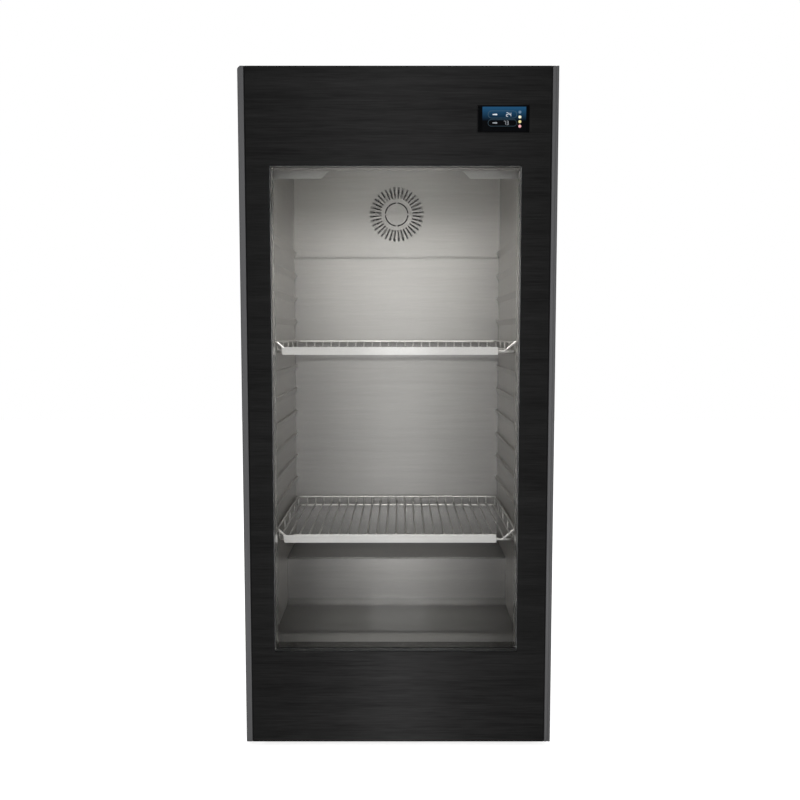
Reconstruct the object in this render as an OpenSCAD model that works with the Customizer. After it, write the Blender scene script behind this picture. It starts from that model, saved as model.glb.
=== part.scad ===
// Glass-door dry-ageing cabinet.
// Millimetres. The floor is z = 0, the door faces -Y, and the origin is on the floor
// under the middle of the whole cabinet.

/* [Cabinet] */
// Width of the door, the widest piece
door_w = 595; // [575:1:640]
// Height of the door's top edge above the floor
total_h = 1300; // [1260:1:1400]
// Depth from the door's front face to the ends of the rear spacers
total_d = 650; // [630:1:720]
// Distance that the grip side of the door stands past the body
grip_overhang = 10; // [5:0.5:20]
// Height of the feet under the base pan
foot_h = 14; // [13:1:30]
// Distance from the door's top edge down to the roof of the body
roof_drop = 6; // [5:0.5:12]
// Thickness of the outer sheet steel
skin = 1.2; // [0.8:0.1:2]
// Thickness of the inner stainless liner
liner = 1.5; // [1:0.1:2.5]
// Thickness of a side wall with its foam
side_wall = 35.5; // [28:0.5:45]
// Thickness of the roof with its foam
roof_wall = 49; // [35:1:60]
// Thickness of the rear wall with its foam
rear_wall = 37; // [28:1:50]
// Thickness of the foam under the inner floor and in the compressor step
floor_foam = 38.5; // [25:0.5:45]
// Depth of the front frame that the door seals on
frame_t = 6; // [4:0.5:10]

/* [Inner space] */
// Height of the inner floor above the room's floor
floor_z = 173; // [165:1:200]
// Height of the compressor step above the inner floor
step_h = 111; // [95:1:130]
// Depth of the compressor step in front of the rear covers
step_d = 183; // [150:1:200]
// Radius of the bend at the top of the compressor step
step_top_r = 5; // [3:0.5:10]
// Radius of the bend at the foot of the compressor step
step_foot_r = 18; // [5:1:30]
// Depth of the duct behind the rear covers
duct_d = 60; // [54:1:80]
// Thickness of the rear covers
cover_t = 1.5; // [1:0.1:3]
// Height of the upper rear cover, from the inner ceiling down to the seam
cover_h = 247; // [230:1:280]
// Open joint between the two rear covers
seam_gap = 2; // [1:0.1:3]
// Height of the return air gap under the lower rear cover
return_gap = 12; // [8:1:20]
// Distance of the light valance behind the front frame
valance_in = 20; // [10:1:40]
// Thickness of the light valance
valance_t = 1.5; // [1:0.1:3]
// Height of the valance in its lowered ends
valance_h = 133; // [110:1:150]
// Height of the valance in its raised middle
valance_mid_h = 112; // [80:1:130]
// Length of each lowered end of the valance
valance_end = 110; // [80:1:150]

/* [Door] */
// Thickness of the door
door_t = 56; // [50:1:70]
// Gap between door and cabinet that the gasket fills
gasket_gap = 10; // [9:0.5:14]
// Height of the door's bottom edge above the floor
door_z = 10; // [10:0.5:12]
// Width of the metal strip on each side of the front
strip_w = 11.5; // [8:0.5:16]
// Width of the rail on each side of the window, from the body's side
side_rail = 57; // [52:0.5:80]
// Height of the rail above the window
top_rail = 180; // [160:1:220]
// Height of the rail below the window
bottom_rail = 180; // [160:1:220]
// Thickness of the door's sheets and front plate
plate_t = 2; // [1:0.1:3]
// Open joint between the front plate and each edge strip
plate_gap = 2.5; // [0.5:0.1:3]
// Depth of the lip round the window behind the front plate
lip_d = 3; // [2:0.5:5]
// Thickness of one glass pane
pane_t = 4; // [3:0.5:6]
// Width of the air gap between the panes
pane_gap = 12; // [8:1:16]
// Distance that the glass reaches behind the frame
pane_hold = 14; // [8:1:14]
// Width of the gasket
gasket_w = 11; // [8:1:12]
// Width of the right-hand grip profile
grip_w = 35.5; // [30:0.5:36]
// Depth of the finger channel in the grip profile
grip_in = 24; // [18:1:28]
// Width of the finger channel in the grip profile
grip_gap = 24; // [20:1:28]
// Wall of the two edge profiles
profile_wall = 2; // [1.5:0.1:3]
// Radius of the edge profiles' outer edges
edge_r = 2; // [0.5:0.1:2.5]
// Bevel at the outer top corner of the left edge profile
top_bevel = 5; // [1:0.5:8]
// Wall of the moulded caps
cap_wall = 3; // [2:0.5:4]

/* [Hinge] */
// Distance of the hinge axis from the door's left edge
hinge_in = 22; // [20:1:26]
// Distance of the hinge axis behind the door's front
hinge_back = 28; // [26:1:30]
// Radius of a hinge pin
pin_r = 5; // [4:0.5:6]
// Length of a hinge pin inside its bush
pin_l = 20; // [15:1:22]
// Radial clearance of a pin in its bush
pin_clear = 0.05; // [0.02:0.01:0.1]
// Wall of a hinge bush
bush_wall = 3; // [2:0.5:4]
// Thickness of a hinge plate
hinge_t = 4; // [3:0.5:4]
// Half width of a hinge plate's arm
hinge_arm = 11; // [9:0.5:12]
// Running gap between a bush flange and its hinge plate
hinge_gap = 0.3; // [0.2:0.1:0.5]

/* [Display] */
// Width of the display's bezel
display_w = 96; // [80:1:110]
// Height of the display's bezel
display_h = 49; // [40:1:60]
// Depth of the display's housing
display_d = 30; // [20:1:40]
// Distance of the display's middle from the door's right edge
display_in = 102.5; // [100:0.5:140]
// Distance of the display's middle below the door's top edge
display_drop = 96; // [70:1:110]
// Width of the frame round the display's lens
bezel_w = 2; // [1.5:0.5:8]
// Thickness of the display's lens
lens_t = 2; // [1:0.5:3]
// Depth of the display's lens behind the face of its frame
lens_in = 0.6; // [0.3:0.1:1.5]

/* [Shelves] */
// Height on which the upper shelf rests
upper_rest = 786; // [770:1:800]
// Height on which the lower shelf rests
lower_rest = 391; // [375:1:400]
// Steps from the lower shelf's runner up to the upper shelf's
runner_steps = 7; // [5:1:8]
// Runners above the one that carries the upper shelf
runners_above = 4; // [2:1:4]
// Depth of a runner's ledge
ledge = 6.5; // [5:0.5:9]
// Thickness of a runner's edge
ledge_t = 1.5; // [1:0.1:3]
// Height of the slope under a runner's ledge
ledge_slope = 14; // [8:1:20]
// Clearance between a shelf and the side walls
shelf_side_gap = 3; // [2:0.5:4]
// Clearance between a shelf and its runners
rest_gap = 0.25; // [0.2:0.05:0.4]
// Distance of the shelf's front behind the front frame
shelf_in = 82; // [70:1:120]
// Clearance between a shelf and the rear covers
shelf_rear_gap = 5; // [3:1:12]
// Diameter of a shelf's rim wire and frame wire
rim_d = 6; // [5:0.5:7]
// Diameter of the grid wires
wire_d = 4; // [3:0.5:5]
// Distance from one grid wire to the next
wire_step = 20.6; // [15:0.1:30]
// Height of the front rail
bar_h = 16; // [15:0.5:18]
// Depth of the front rail
bar_d = 10; // [9:0.5:14]
// Thickness of the front rail's sheet
bar_t = 2; // [1.5:0.1:2.2]
// Distance of the front rail's top edge below the shelf's rim
bar_drop = 6; // [5:0.5:8]
// Distance of the front rail's left end from the shelf's left side
bar_left_in = 16.5; // [12:0.5:20]
// Distance of the front rail's right end from the shelf's right side
bar_right_in = 43; // [36:0.5:60]
// Posts between frame wire and rim wire on each side of a shelf
posts = 5; // [3:1:8]

/* [Fans and grille] */
// Distance of the fan's centre below the inner ceiling
fan_drop = 139.5; // [110:0.5:170]
// Side of the square fan frames
fan_size = 120; // [100:1:130]
// Depth of the fan frames
fan_d = 38; // [32:1:40]
// Blades of a fan rotor
blades = 7; // [5:1:9]
// Radius of a fan's rotor hub
hub_r = 24; // [20:1:27]
// Radial clearance of a rotor on its motor shaft
shaft_clear = 0.05; // [0.02:0.01:0.1]
// Slots in the fan grille
slots = 36; // [24:1:40]
// Radius at the inner ends of the slots
slot_in_r = 39; // [33:0.5:42]
// Radius at the outer ends of the slots
slot_out_r = 67; // [55:0.5:75]
// Width of a slot at its inner end
slot_in_w = 3; // [2:0.1:3.5]
// Width of a slot at its outer end
slot_out_w = 4.6; // [3:0.1:6]
// Radius of the broken ring round the grille's middle
arc_r = 28; // [24:0.5:30]
// Width of the broken ring's cuts
arc_w = 3; // [1:0.1:4]
// Width of the bridges between the broken ring's cuts
arc_bridge = 4; // [2:0.5:10]

/* [Lighting] */
// Length of the light bar under the ceiling
led_l = 380; // [300:1:440]
// Width of the light bar
led_w = 16; // [12:1:24]
// Height of the light bar's channel
led_h = 12; // [8:1:16]
// Gap between the valance and the light bar
led_gap = 8; // [4:1:16]

/* [Machine space] */
// Thickness of the deck sheet over the machine space
deck_t = 1.2; // [0.8:0.1:2]
// Thickness of the base pan
pan_t = 2; // [1.5:0.1:3]
// Height of the louvred cover's top edge
machine_cover_z = 250; // [240:1:280]
// Radius of the compressor's shell
shell_r = 70; // [55:1:75]
// Height of the compressor's shell
shell_h = 120; // [100:1:130]
// Height of the compressor's rubber mounts
mount_h = 26; // [15:1:28]
// Distance of the compressor's axis from the middle, to the left
shell_left = 140; // [120:1:170]
// Distance of the compressor's axis in front of the back panel
shell_in = 96; // [90:1:100]
// Side of the condenser block across the air flow
condenser_s = 120; // [100:1:125]
// Depth of the condenser block along the air flow
condenser_d = 44; // [30:1:60]
// Distance of the condenser's middle from the middle, to the right
condenser_right = 150; // [100:1:190]
// Gap between the condenser and the back panel
condenser_in = 30; // [20:1:60]
// Fins of each heat exchanger
fins = 22; // [12:1:30]
// Thickness of a fin
fin_t = 0.8; // [0.5:0.1:1.5]
// Radius of the heat exchangers' tubes
tube_r = 4.75; // [3:0.25:6]
// Width of the evaporator between its end plates
evaporator_w = 360; // [280:1:420]
// Height of the evaporator
evaporator_h = 150; // [100:1:200]
// Distance from the seam of the rear covers down to the evaporator
evaporator_drop = 40; // [20:1:80]
// Length of the evaporation tray
tray_w = 200; // [150:1:220]
// Depth of the evaporation tray
tray_d = 110; // [80:1:130]
// Height of the evaporation tray
tray_h = 22; // [15:1:30]
// Wall of the evaporation tray
tray_wall = 2; // [1.5:0.1:3]
// Outer radius of the drain tube
drain_r = 8; // [6:0.5:10]
// Wall of the drain tube
drain_wall = 1.5; // [1:0.1:2]
// Columns of louvre slots in the machine cover
louvre_cols = 3; // [2:1:4]
// Rows of louvre slots in the machine cover
louvre_rows = 12; // [6:1:14]
// Length of a louvre slot
louvre_l = 110; // [60:1:120]
// Height of a louvre slot
louvre_h = 5; // [4.5:0.5:7]
// Distance from one louvre row to the next
louvre_step = 13; // [11:0.5:15]

/* [Back and feet] */
// Depth of the rear spacers
spacer_d = 22; // [12:1:30]
// Side of a rear spacer where it meets the back panel
spacer_s = 40; // [30:1:50]
// Distance of the rear spacers below the roof
spacer_drop = 90; // [60:1:150]
// Distance of the rear spacers from the body's sides
spacer_in = 70; // [50:1:120]
// Radius of a foot where it meets the floor
foot_r = 22; // [15:1:26]
// Distance of the feet from the body's edges
foot_in = 45; // [30:1:80]
// Radius of the screw heads
screw_r = 4; // [3:0.5:5]
// Height of the screw heads
screw_h = 2; // [1:0.5:2]
// Width of the mains inlet's recess
inlet_w = 24; // [20:0.5:26]
// Height of the mains inlet's recess
inlet_h = 17; // [15:0.5:20]
// Depth of the mains inlet's recess
inlet_d = 18; // [15:0.5:22]
// Length of the mains inlet's pins
inlet_pin = 10; // [6:0.5:12]
// Wall of the mains inlet
inlet_wall = 2; // [1.5:0.1:3]
// Distance of the mains inlet from the body's right side
inlet_in = 50; // [40:1:80]
// Height of the mains inlet above the base pan
inlet_up = 50; // [30:1:90]

/* [Hidden] */
$fn = 64;

// Colours
black_steel = "#26262a";
grey_steel = "#8d8f92";
stainless = "#c4c4c0";
aluminium_grey = "#9a9ca0";
black_plastic = "#1b1b1d";
foam_cream = "#e6d9b0";
rubber_grey = "#55565a";
bright_wire = "#e2e2e0";
copper = "#b8733a";
lamp_white = "#fbf6ea";
clear_glass = [0.75, 0.82, 0.82, 0.35];

// Every shape is drawn with x = 0 at the middle of the body and y = 0 at the door's front.
body_shift = -grip_overhang / 2;
half_body = (door_w - grip_overhang) / 2;
half_in = half_body - side_wall;
half_skin = half_body - skin;
half_liner = half_in + liner;
door_left = -half_body;
door_right = half_body + grip_overhang;
plate_left = door_left + strip_w;
plate_right = door_right - strip_w;
grip_left = door_right - grip_w;
body_front = door_t + gasket_gap;
shell_front = body_front + frame_t;
body_rear = total_d - spacer_d;
back_in = body_rear - skin;
duct_rear = body_rear - rear_wall;
cover_y = duct_rear - duct_d;
step_y = cover_y - step_d;
roof_z = total_h - roof_drop;
roof_in = roof_z - skin;
ceiling_z = roof_z - roof_wall;
step_z = floor_z + step_h;
pan_z = foot_h + pan_t;
deck_low_z = floor_z - liner - floor_foam;
deck_high_z = step_z - liner - floor_foam;
deck_y = step_y + liner + floor_foam;
fan_z = ceiling_z - fan_drop;
seam_z = ceiling_z - cover_h;
eps = 0.01;

// Window and glass
half_window = half_body - side_rail;
window_low = door_z + bottom_rail;
window_high = total_h - top_rail;
half_glass = half_window + pane_hold;
glass_low = window_low - pane_hold;
glass_high = window_high + pane_hold;
outer_pane_y = plate_t + lip_d;
spacer_y = outer_pane_y + pane_t;
inner_pane_y = spacer_y + pane_gap;
stop_y = inner_pane_y + pane_t;
door_back_y = door_t - plate_t;
groove_w = 2;
groove_d = 1.2;

// Hinge
hinge_x = door_left + hinge_in;
flange_t = 1.7;
recess_z = roof_z - hinge_gap - flange_t;
recess_room = 2;
swing_past = 15;
recess_y = hinge_back - hinge_in * tan(swing_past) - hinge_arm / cos(swing_past) - recess_room;
recess_right = hinge_x + hinge_arm + recess_room;
bush_r = pin_r + pin_clear + bush_wall;
bush_flange_r = bush_r + bush_wall;
low_plate_z = door_z - flange_t - hinge_gap - hinge_t;
hinge_foot_d = 60;
hinge_foot_w = 50;
tip_room = 2;
low_pin_z = low_plate_z + hinge_t;
cap_low_top = low_pin_z + pin_l + tip_room;
cap_high_low = roof_z - pin_l - tip_room;
cap_solid = 2 * hinge_in;

// Display
display_x = door_right - display_in;
display_z = total_h - display_drop;
display_gap = 0.3;
display_back_rim = 4;

// Shelves
half_shelf = half_in - shelf_side_gap;
shelf_y = body_front + shelf_in;
shelf_rear = cover_y - shelf_rear_gap;
rim_r = rim_d / 2;
wire_r = wire_d / 2;
rim_bend = 16;
rim_x = half_shelf - rim_r;
ear_bend = rim_r + 1;
ear_slope = 40;
weld = 0.4;
rail_clear = 0.3;
front_wire_y = shelf_y + bar_t + rail_clear + rim_r;
frame_clear = 1.5;
frame_x = half_in - ledge - rim_r - frame_clear;
frame_bend = 10;
post_clear = 1;
post_x = half_in - ledge - wire_r - post_clear;
rail_room = (bar_h - 2 * bar_t - rim_d - wire_d + weld) / 2;
frame_z = bar_t + rail_room + rim_r - bar_h - bar_drop;
wire_z = frame_z + rim_r + wire_r - weld;
wires_per_side = floor((frame_x - frame_bend - wire_d) / wire_step);
runner_step = (upper_rest - lower_rest) / runner_steps;
runner_front = shell_front + 2;

// Fans
fan_bore = fan_size / 2 - 3;
blade_r = fan_bore - 3;
blade_t = 1.8;
blade_pitch = 40;
shaft_r = 2.5;
spider_t = 4;
motor_r = hub_r - 4;
hub_front = 4;
hub_cap = 11.5;
motor_gap = 0.5;
hub_depth = fan_d - spider_t - hub_front - 4;

// Fits
tube_gap = 0.3;

// Shared shapes

module placed() {
    translate([body_shift, -total_d / 2, 0])
        children();
}

// Pair of values on both sides of a middle
function span(middle, half) = [middle - half, middle + half];

// Box between two values on each axis
module block(x, y, z) {
    translate([x[0], y[0], z[0]])
        cube([x[1] - x[0], y[1] - y[0], z[1] - z[0]]);
}

// Outline in y and z, carried along x
module along_x(x) {
    translate([x[0], 0, 0])
        rotate([90, 0, 90])
            linear_extrude(x[1] - x[0])
                children();
}

// Outline in x and z, carried along y
module along_y(y) {
    translate([0, y[1], 0])
        rotate([90, 0, 0])
            linear_extrude(y[1] - y[0])
                children();
}

// Rectangular frame: half widths in x, pairs in z
module ring(half_out, z_out, half_hole, z_hole, y) {
    difference() {
        block([-half_out, half_out], y, z_out);
        block([-half_hole, half_hole], [y[0] - 1, y[1] + 1], z_hole);
    }
}

module rod_x_run(x, y, z, r) {
    translate([x[0], y, z])
        rotate([0, 90, 0])
            cylinder(r = r, h = x[1] - x[0]);
}

module rod_y_run(x, y, z, r) {
    translate([x, y[0], z])
        rotate([-90, 0, 0])
            cylinder(r = r, h = y[1] - y[0]);
}

module rod_z_run(x, y, z, r) {
    translate([x, y, z[0]])
        cylinder(r = r, h = z[1] - z[0]);
}

// Quarter of a round wire, bent in the plane of x and y about the origin
module elbow(bend, r) {
    rotate_extrude(angle = 90)
        translate([bend, 0])
            circle(r);
}

module both_sides() {
    children();
    mirror([1, 0, 0])
        children();
}

// Outer skin

module left_side_panel() {
    color(grey_steel) placed()
        block([-half_body, -half_skin], [shell_front, body_rear], [foot_h, roof_in]);
}

module right_side_panel() {
    color(grey_steel) placed()
        block([half_skin, half_body], [shell_front, body_rear], [foot_h, roof_in]);
}

module top_panel() {
    color(grey_steel) placed()
        block([-half_body, half_body], [shell_front, body_rear], [roof_in, roof_z]);
}

module back_panel() {
    color(grey_steel) placed()
        block([-half_skin, half_skin], [back_in, body_rear], [machine_cover_z, roof_in]);
}

pan_lip = 12;

// Folded tray that carries the machine space, with lips inside the side panels
module base_pan() {
    color(grey_steel) placed() {
        block([-half_skin, half_skin], [shell_front, body_rear], [foot_h, pan_z]);
        both_sides()
            block([half_skin - pan_t, half_skin], [shell_front, back_in], [pan_z, pan_z + pan_lip]);
    }
}

module front_frame() {
    color(grey_steel) placed()
        ring(half_body, [foot_h, roof_z], half_in, [floor_z, ceiling_z], [body_front, shell_front]);
}

// Insulation and liner

liner_rear = duct_rear + liner;
drain_x = condenser_right;
duct_mid_y = cover_y + duct_d / 2;
line_x = -evaporator_w / 2 + 2 * tube_r;

// Passages for the drain and for the suction line through the floor of the cabinet
module floor_passages() {
    rod_z_run(drain_x, duct_mid_y, [deck_high_z - deck_t - 1, step_z + 1], drain_r + tube_gap);
    rod_z_run(line_x, duct_mid_y, [deck_high_z - deck_t - 1, step_z + 1], tube_r + tube_gap);
}

// Flat rectangle between two values each way
module panel(x, y) {
    translate([x[0], y[0]])
        square([x[1] - x[0], y[1] - y[0]]);
}

// Side view of the space under the folded floor, a depth below its surface
module under_floor(front, depth) {
    foot_r = step_foot_r + depth;
    face = step_y + depth;
    level = floor_z - depth;
    difference() {
        union() {
            panel([front, liner_rear], [deck_low_z, level]);
            panel([face, liner_rear], [deck_low_z, step_z - depth]);
            difference() {
                panel([face - foot_r, face + 1], [level - 1, level + foot_r]);
                translate([face - foot_r, level + foot_r])
                    circle(foot_r);
            }
        }
        translate([face, step_z - depth])
            mirror([0, 1])
                corner_cut(step_top_r - depth);
    }
}

// Side outline of the liner, which rises over the compressor step, from a front value of y
module liner_outline(front) {
    difference() {
        panel([front, liner_rear], [floor_z - liner, ceiling_z + liner]);
        under_floor(front - 1, liner);
    }
}

// Foam poured round the liner: the body's block less the liner and the machine space
module cabinet_foam() {
    color(foam_cream) placed()
        difference() {
            block([-half_skin, half_skin], [shell_front, back_in], [deck_low_z, roof_in]);
            block([-half_skin - 1, half_skin + 1], [deck_y, back_in + 1], [deck_low_z - 1, deck_high_z]);
            along_x([-half_liner, half_liner])
                liner_outline(shell_front - 1);
            floor_passages();
        }
}

module left_liner_wall() {
    color(stainless) placed()
        along_x([-half_liner, -half_in])
            liner_outline(shell_front);
}

module right_liner_wall() {
    color(stainless) placed()
        along_x([half_in, half_liner])
            liner_outline(shell_front);
}

module ceiling_liner() {
    color(stainless) placed()
        block([-half_in, half_in], [shell_front, liner_rear], [ceiling_z, ceiling_z + liner]);
}

module rear_liner() {
    color(stainless) placed()
        block([-half_in, half_in], [duct_rear, liner_rear], [step_z, ceiling_z]);
}

// Folded floor: the flat part, the face of the compressor step and the step's top
module floor_liner() {
    color(stainless) placed()
        difference() {
            along_x([-half_in, half_in])
                difference() {
                    under_floor(shell_front, 0);
                    under_floor(shell_front - 1, liner);
                }
            floor_passages();
        }
}

// Pressed ledges that carry the shelves, one row of heights for both walls
function runner_levels() = [
    for (k = [0 : runner_steps + runners_above]) lower_rest + k * runner_step
];

module shelf_runners() {
    for (z = runner_levels())
        along_y([runner_front, cover_y])
            polygon([
                [half_in, z],
                [half_in - ledge, z],
                [half_in - ledge, z - ledge_t],
                [half_in, z - ledge_slope]
            ]);
}

module right_shelf_runners() {
    color(stainless) placed()
        shelf_runners();
}

module left_shelf_runners() {
    color(stainless) placed()
        mirror([1, 0, 0])
            shelf_runners();
}

// Rear wall and its duct

// One radial slot along x, wider outside, with round ends
module grille_slot() {
    inner = slot_in_r + slot_in_w / 2;
    outer = slot_out_r - slot_out_w / 2;
    polygon([
        [inner, -slot_in_w / 2],
        [outer, -slot_out_w / 2],
        [outer, slot_out_w / 2],
        [inner, slot_in_w / 2]
    ]);
    translate([inner, 0])
        circle(slot_in_w / 2);
    translate([outer, 0])
        circle(slot_out_w / 2);
}

// Broken ring: a thin ring without its four bridges
module grille_arcs() {
    difference() {
        circle(arc_r + arc_w / 2);
        circle(arc_r - arc_w / 2);
        square([3 * arc_r, arc_bridge], center = true);
        square([arc_bridge, 3 * arc_r], center = true);
    }
}

module fan_grille() {
    for (i = [0 : slots - 1])
        rotate((i + 0.5) * 360 / slots)
            grille_slot();
    grille_arcs();
}

cover_span = [cover_y, cover_y + cover_t];
hem_r = 2.5;

// Rolled hem along a cover's edge, its front flush with the cover
module cover_hem(z) {
    rod_x_run([-half_in, half_in], cover_y + hem_r, z, hem_r);
}

module evaporator_cover() {
    edge = seam_z + seam_gap / 2 + hem_r;
    color(stainless) placed() {
        difference() {
            block([-half_in, half_in], cover_span, [edge, ceiling_z]);
            along_y([cover_y - 1, cover_y + cover_t + 1])
                translate([0, fan_z])
                    fan_grille();
        }
        cover_hem(edge);
    }
}

module duct_cover() {
    edge = seam_z - seam_gap / 2 - hem_r;
    color(stainless) placed() {
        block([-half_in, half_in], cover_span, [step_z + return_gap, edge]);
        cover_hem(edge);
    }
}

tube_rows = 4;
end_plate = 2;

// Half-round return bend in the plane of x and z, open towards -x
module return_bend(bend) {
    rotate([90, 0, 0])
        rotate(-90)
            rotate_extrude(angle = 180)
                translate([bend, 0])
                    circle(tube_r);
}

// Finned block from the origin towards +y and +z, with one tube that runs to and fro across its fins
module exchanger(w, d, h) {
    pitch = (w - 2 * end_plate) / (fins + 1);
    row = h / tube_rows;
    both_sides()
        block([w / 2 - end_plate, w / 2], [0, d], [0, h]);
    for (i = [1 : fins])
        translate([end_plate + i * pitch - w / 2, 0, 0])
            block([-fin_t / 2, fin_t / 2], [0, d], [0, h]);
    for (k = [0 : tube_rows - 1])
        rod_x_run([-w / 2, w / 2], d / 2, (k + 0.5) * row, tube_r);
    for (k = [1 : tube_rows - 1])
        mirror([k % 2 == 0 ? 1 : 0, 0, 0])
            translate([w / 2 - eps, d / 2, k * row])
                return_bend(row / 2);
}

evaporator_air = 6;
evaporator_z = seam_z - evaporator_drop - evaporator_h;

module evaporator_coil() {
    color(aluminium_grey) placed()
        translate([0, cover_y + cover_t + evaporator_air, evaporator_z])
            exchanger(evaporator_w, duct_d - cover_t - evaporator_air, evaporator_h);
}

// Axial fan, drawn with its air flow along z and then turned to blow along y

spider_w = 7;

module fan_frame() {
    linear_extrude(fan_d)
        difference() {
            square(fan_size, center = true);
            circle(fan_bore);
        }
    translate([0, 0, fan_d - spider_t])
        linear_extrude(spider_t)
            intersection() {
                circle(fan_bore + 1);
                union() {
                    circle(motor_r);
                    square([fan_size, spider_w], center = true);
                    square([spider_w, fan_size], center = true);
                }
            }
}

module fan_motor() {
    seat = fan_d - spider_t;
    front = hub_front + hub_cap + motor_gap;
    translate([0, 0, front])
        cylinder(r = motor_r, h = seat - front);
    translate([0, 0, hub_front + motor_gap])
        cylinder(r = shaft_r, h = seat - hub_front - motor_gap);
}

// Cup-shaped hub over the motor, with pitched blades that end short of the frame's bore
module fan_rotor() {
    difference() {
        translate([0, 0, hub_front])
            cylinder(r = hub_r, h = hub_depth);
        translate([0, 0, hub_front + hub_cap])
            cylinder(r = motor_r + 1.5, h = hub_depth);
        translate([0, 0, hub_front - 1])
            cylinder(r = shaft_r + shaft_clear, h = hub_depth);
    }
    intersection() {
        translate([0, 0, hub_front])
            linear_extrude(hub_depth)
                difference() {
                    circle(blade_r);
                    circle(hub_r - 1);
                }
        for (i = [0 : blades - 1])
            rotate(i * 360 / blades)
                translate([(hub_r + blade_r) / 2, 0, hub_front + hub_depth / 2])
                    rotate([blade_pitch, 0, 0])
                        cube([blade_r, 2 * hub_depth, blade_t], center = true);
    }
}

module at_evaporator_fan() {
    placed()
        translate([0, cover_y + cover_t, fan_z])
            rotate([-90, 0, 0])
                children();
}

condenser_front = back_in - condenser_in - condenser_d;

module at_condenser_fan() {
    placed()
        translate([condenser_right, condenser_front - fan_d, pan_z + fan_size / 2])
            rotate([-90, 0, 0])
                children();
}

module evaporator_fan_frame() {
    color(black_plastic) at_evaporator_fan()
        fan_frame();
}

module evaporator_fan_motor() {
    color(aluminium_grey) at_evaporator_fan()
        fan_motor();
}

module evaporator_fan_rotor() {
    color(rubber_grey) at_evaporator_fan()
        fan_rotor();
}

module condenser_fan_frame() {
    color(black_plastic) at_condenser_fan()
        fan_frame();
}

module condenser_fan_motor() {
    color(aluminium_grey) at_condenser_fan()
        fan_motor();
}

module condenser_fan_rotor() {
    color(rubber_grey) at_condenser_fan()
        fan_rotor();
}

// Lighting

valance_y = shell_front + valance_in;
led_y = valance_y + valance_t + led_gap;

// Folded screen in front of the light bar, lower at both ends
module light_valance() {
    low = ceiling_z - valance_h;
    mid = ceiling_z - valance_mid_h;
    slope = mid - low;
    inner = half_in - valance_end;
    color(stainless) placed()
        along_y([valance_y, valance_y + valance_t])
            polygon([
                [-half_in, ceiling_z],
                [-half_in, low],
                [-inner, low],
                [-inner + slope, mid],
                [inner - slope, mid],
                [inner, low],
                [half_in, low],
                [half_in, ceiling_z]
            ]);
}

module light_bar() {
    color(aluminium_grey) placed()
        block([-led_l / 2, led_l / 2], [led_y, led_y + led_w], [ceiling_z - led_h, ceiling_z]);
}

// Half-round lens under the light bar
module light_diffuser() {
    r = led_w / 2;
    color(lamp_white) placed()
        difference() {
            rod_x_run([-led_l / 2, led_l / 2], led_y + r, ceiling_z - led_h, r);
            block([-led_l, led_l], [led_y - 1, led_y + led_w + 1], [ceiling_z - led_h, ceiling_z]);
        }
}

// Machine space

// Folded sheet that closes the foam over the machine space
module compressor_deck() {
    color(grey_steel) placed()
        difference() {
            along_x([-half_skin, half_skin])
                polygon([
                    [shell_front, deck_low_z],
                    [deck_y, deck_low_z],
                    [deck_y, deck_high_z],
                    [back_in, deck_high_z],
                    [back_in, deck_high_z - deck_t],
                    [deck_y + deck_t, deck_high_z - deck_t],
                    [deck_y + deck_t, deck_low_z - deck_t],
                    [shell_front, deck_low_z - deck_t]
                ]);
            floor_passages();
        }
}

shell_y = back_in - shell_in;
sole_t = 3;
sole_w = 1.15;
shell_z = pan_z + mount_h + sole_t;
dome_h = shell_r / 2;
dome_r = (shell_r * shell_r + dome_h * dome_h) / (2 * dome_h);
seam_w = 3;
seam_t = 4;
stub_l = 12;
line_joint_z = shell_z + shell_h + stub_l;
discharge_y = condenser_front + condenser_d / 2;
discharge_z = pan_z + condenser_s * (tube_rows - 0.5) / tube_rows;
discharge_joint_x = shell_r + stub_l - shell_left;
mount_r = 10;
mount_x = shell_r * sole_w - mount_r;

// Drawn steel shell with a domed top on a flat sole plate, with its two pipe stubs
module compressor() {
    color(black_plastic) placed() {
        translate([-shell_left, shell_y, shell_z]) {
            rotate_extrude()
                intersection() {
                    translate([0, shell_h - dome_r])
                        circle(dome_r);
                    square([shell_r, shell_h]);
                }
            translate([0, 0, shell_h / 2])
                cylinder(r = shell_r + seam_w, h = seam_t);
            block(shell_r * sole_w * [-1, 1], shell_r * sole_w * [-1, 1], [-sole_t, eps]);
        }
        rod_z_run(line_x, duct_mid_y, [shell_z + shell_h / 2, line_joint_z], tube_r);
        rod_x_run([-shell_left, discharge_joint_x], discharge_y, discharge_z, tube_r);
    }
}

module compressor_mounts() {
    color(rubber_grey) placed()
        for (sx = [-1, 1], sy = [-1, 1])
            rod_z_run(sx * mount_x - shell_left, shell_y + sy * mount_x, [pan_z, pan_z + mount_h], mount_r);
}

module condenser_coil() {
    color(aluminium_grey) placed()
        translate([condenser_right, condenser_front, pan_z])
            exchanger(condenser_s, condenser_d, condenser_s);
}

// Suction line up to the evaporator and discharge line across to the condenser
module refrigerant_lines() {
    color(copper) placed() {
        rod_z_run(line_x, duct_mid_y, [line_joint_z, evaporator_z], tube_r);
        rod_x_run([discharge_joint_x, condenser_right - condenser_s / 2], discharge_y, discharge_z, tube_r);
    }
}

tray_drop = 18;
tray_top = deck_high_z - deck_t - tray_drop;
hanger_w = 24;

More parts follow.
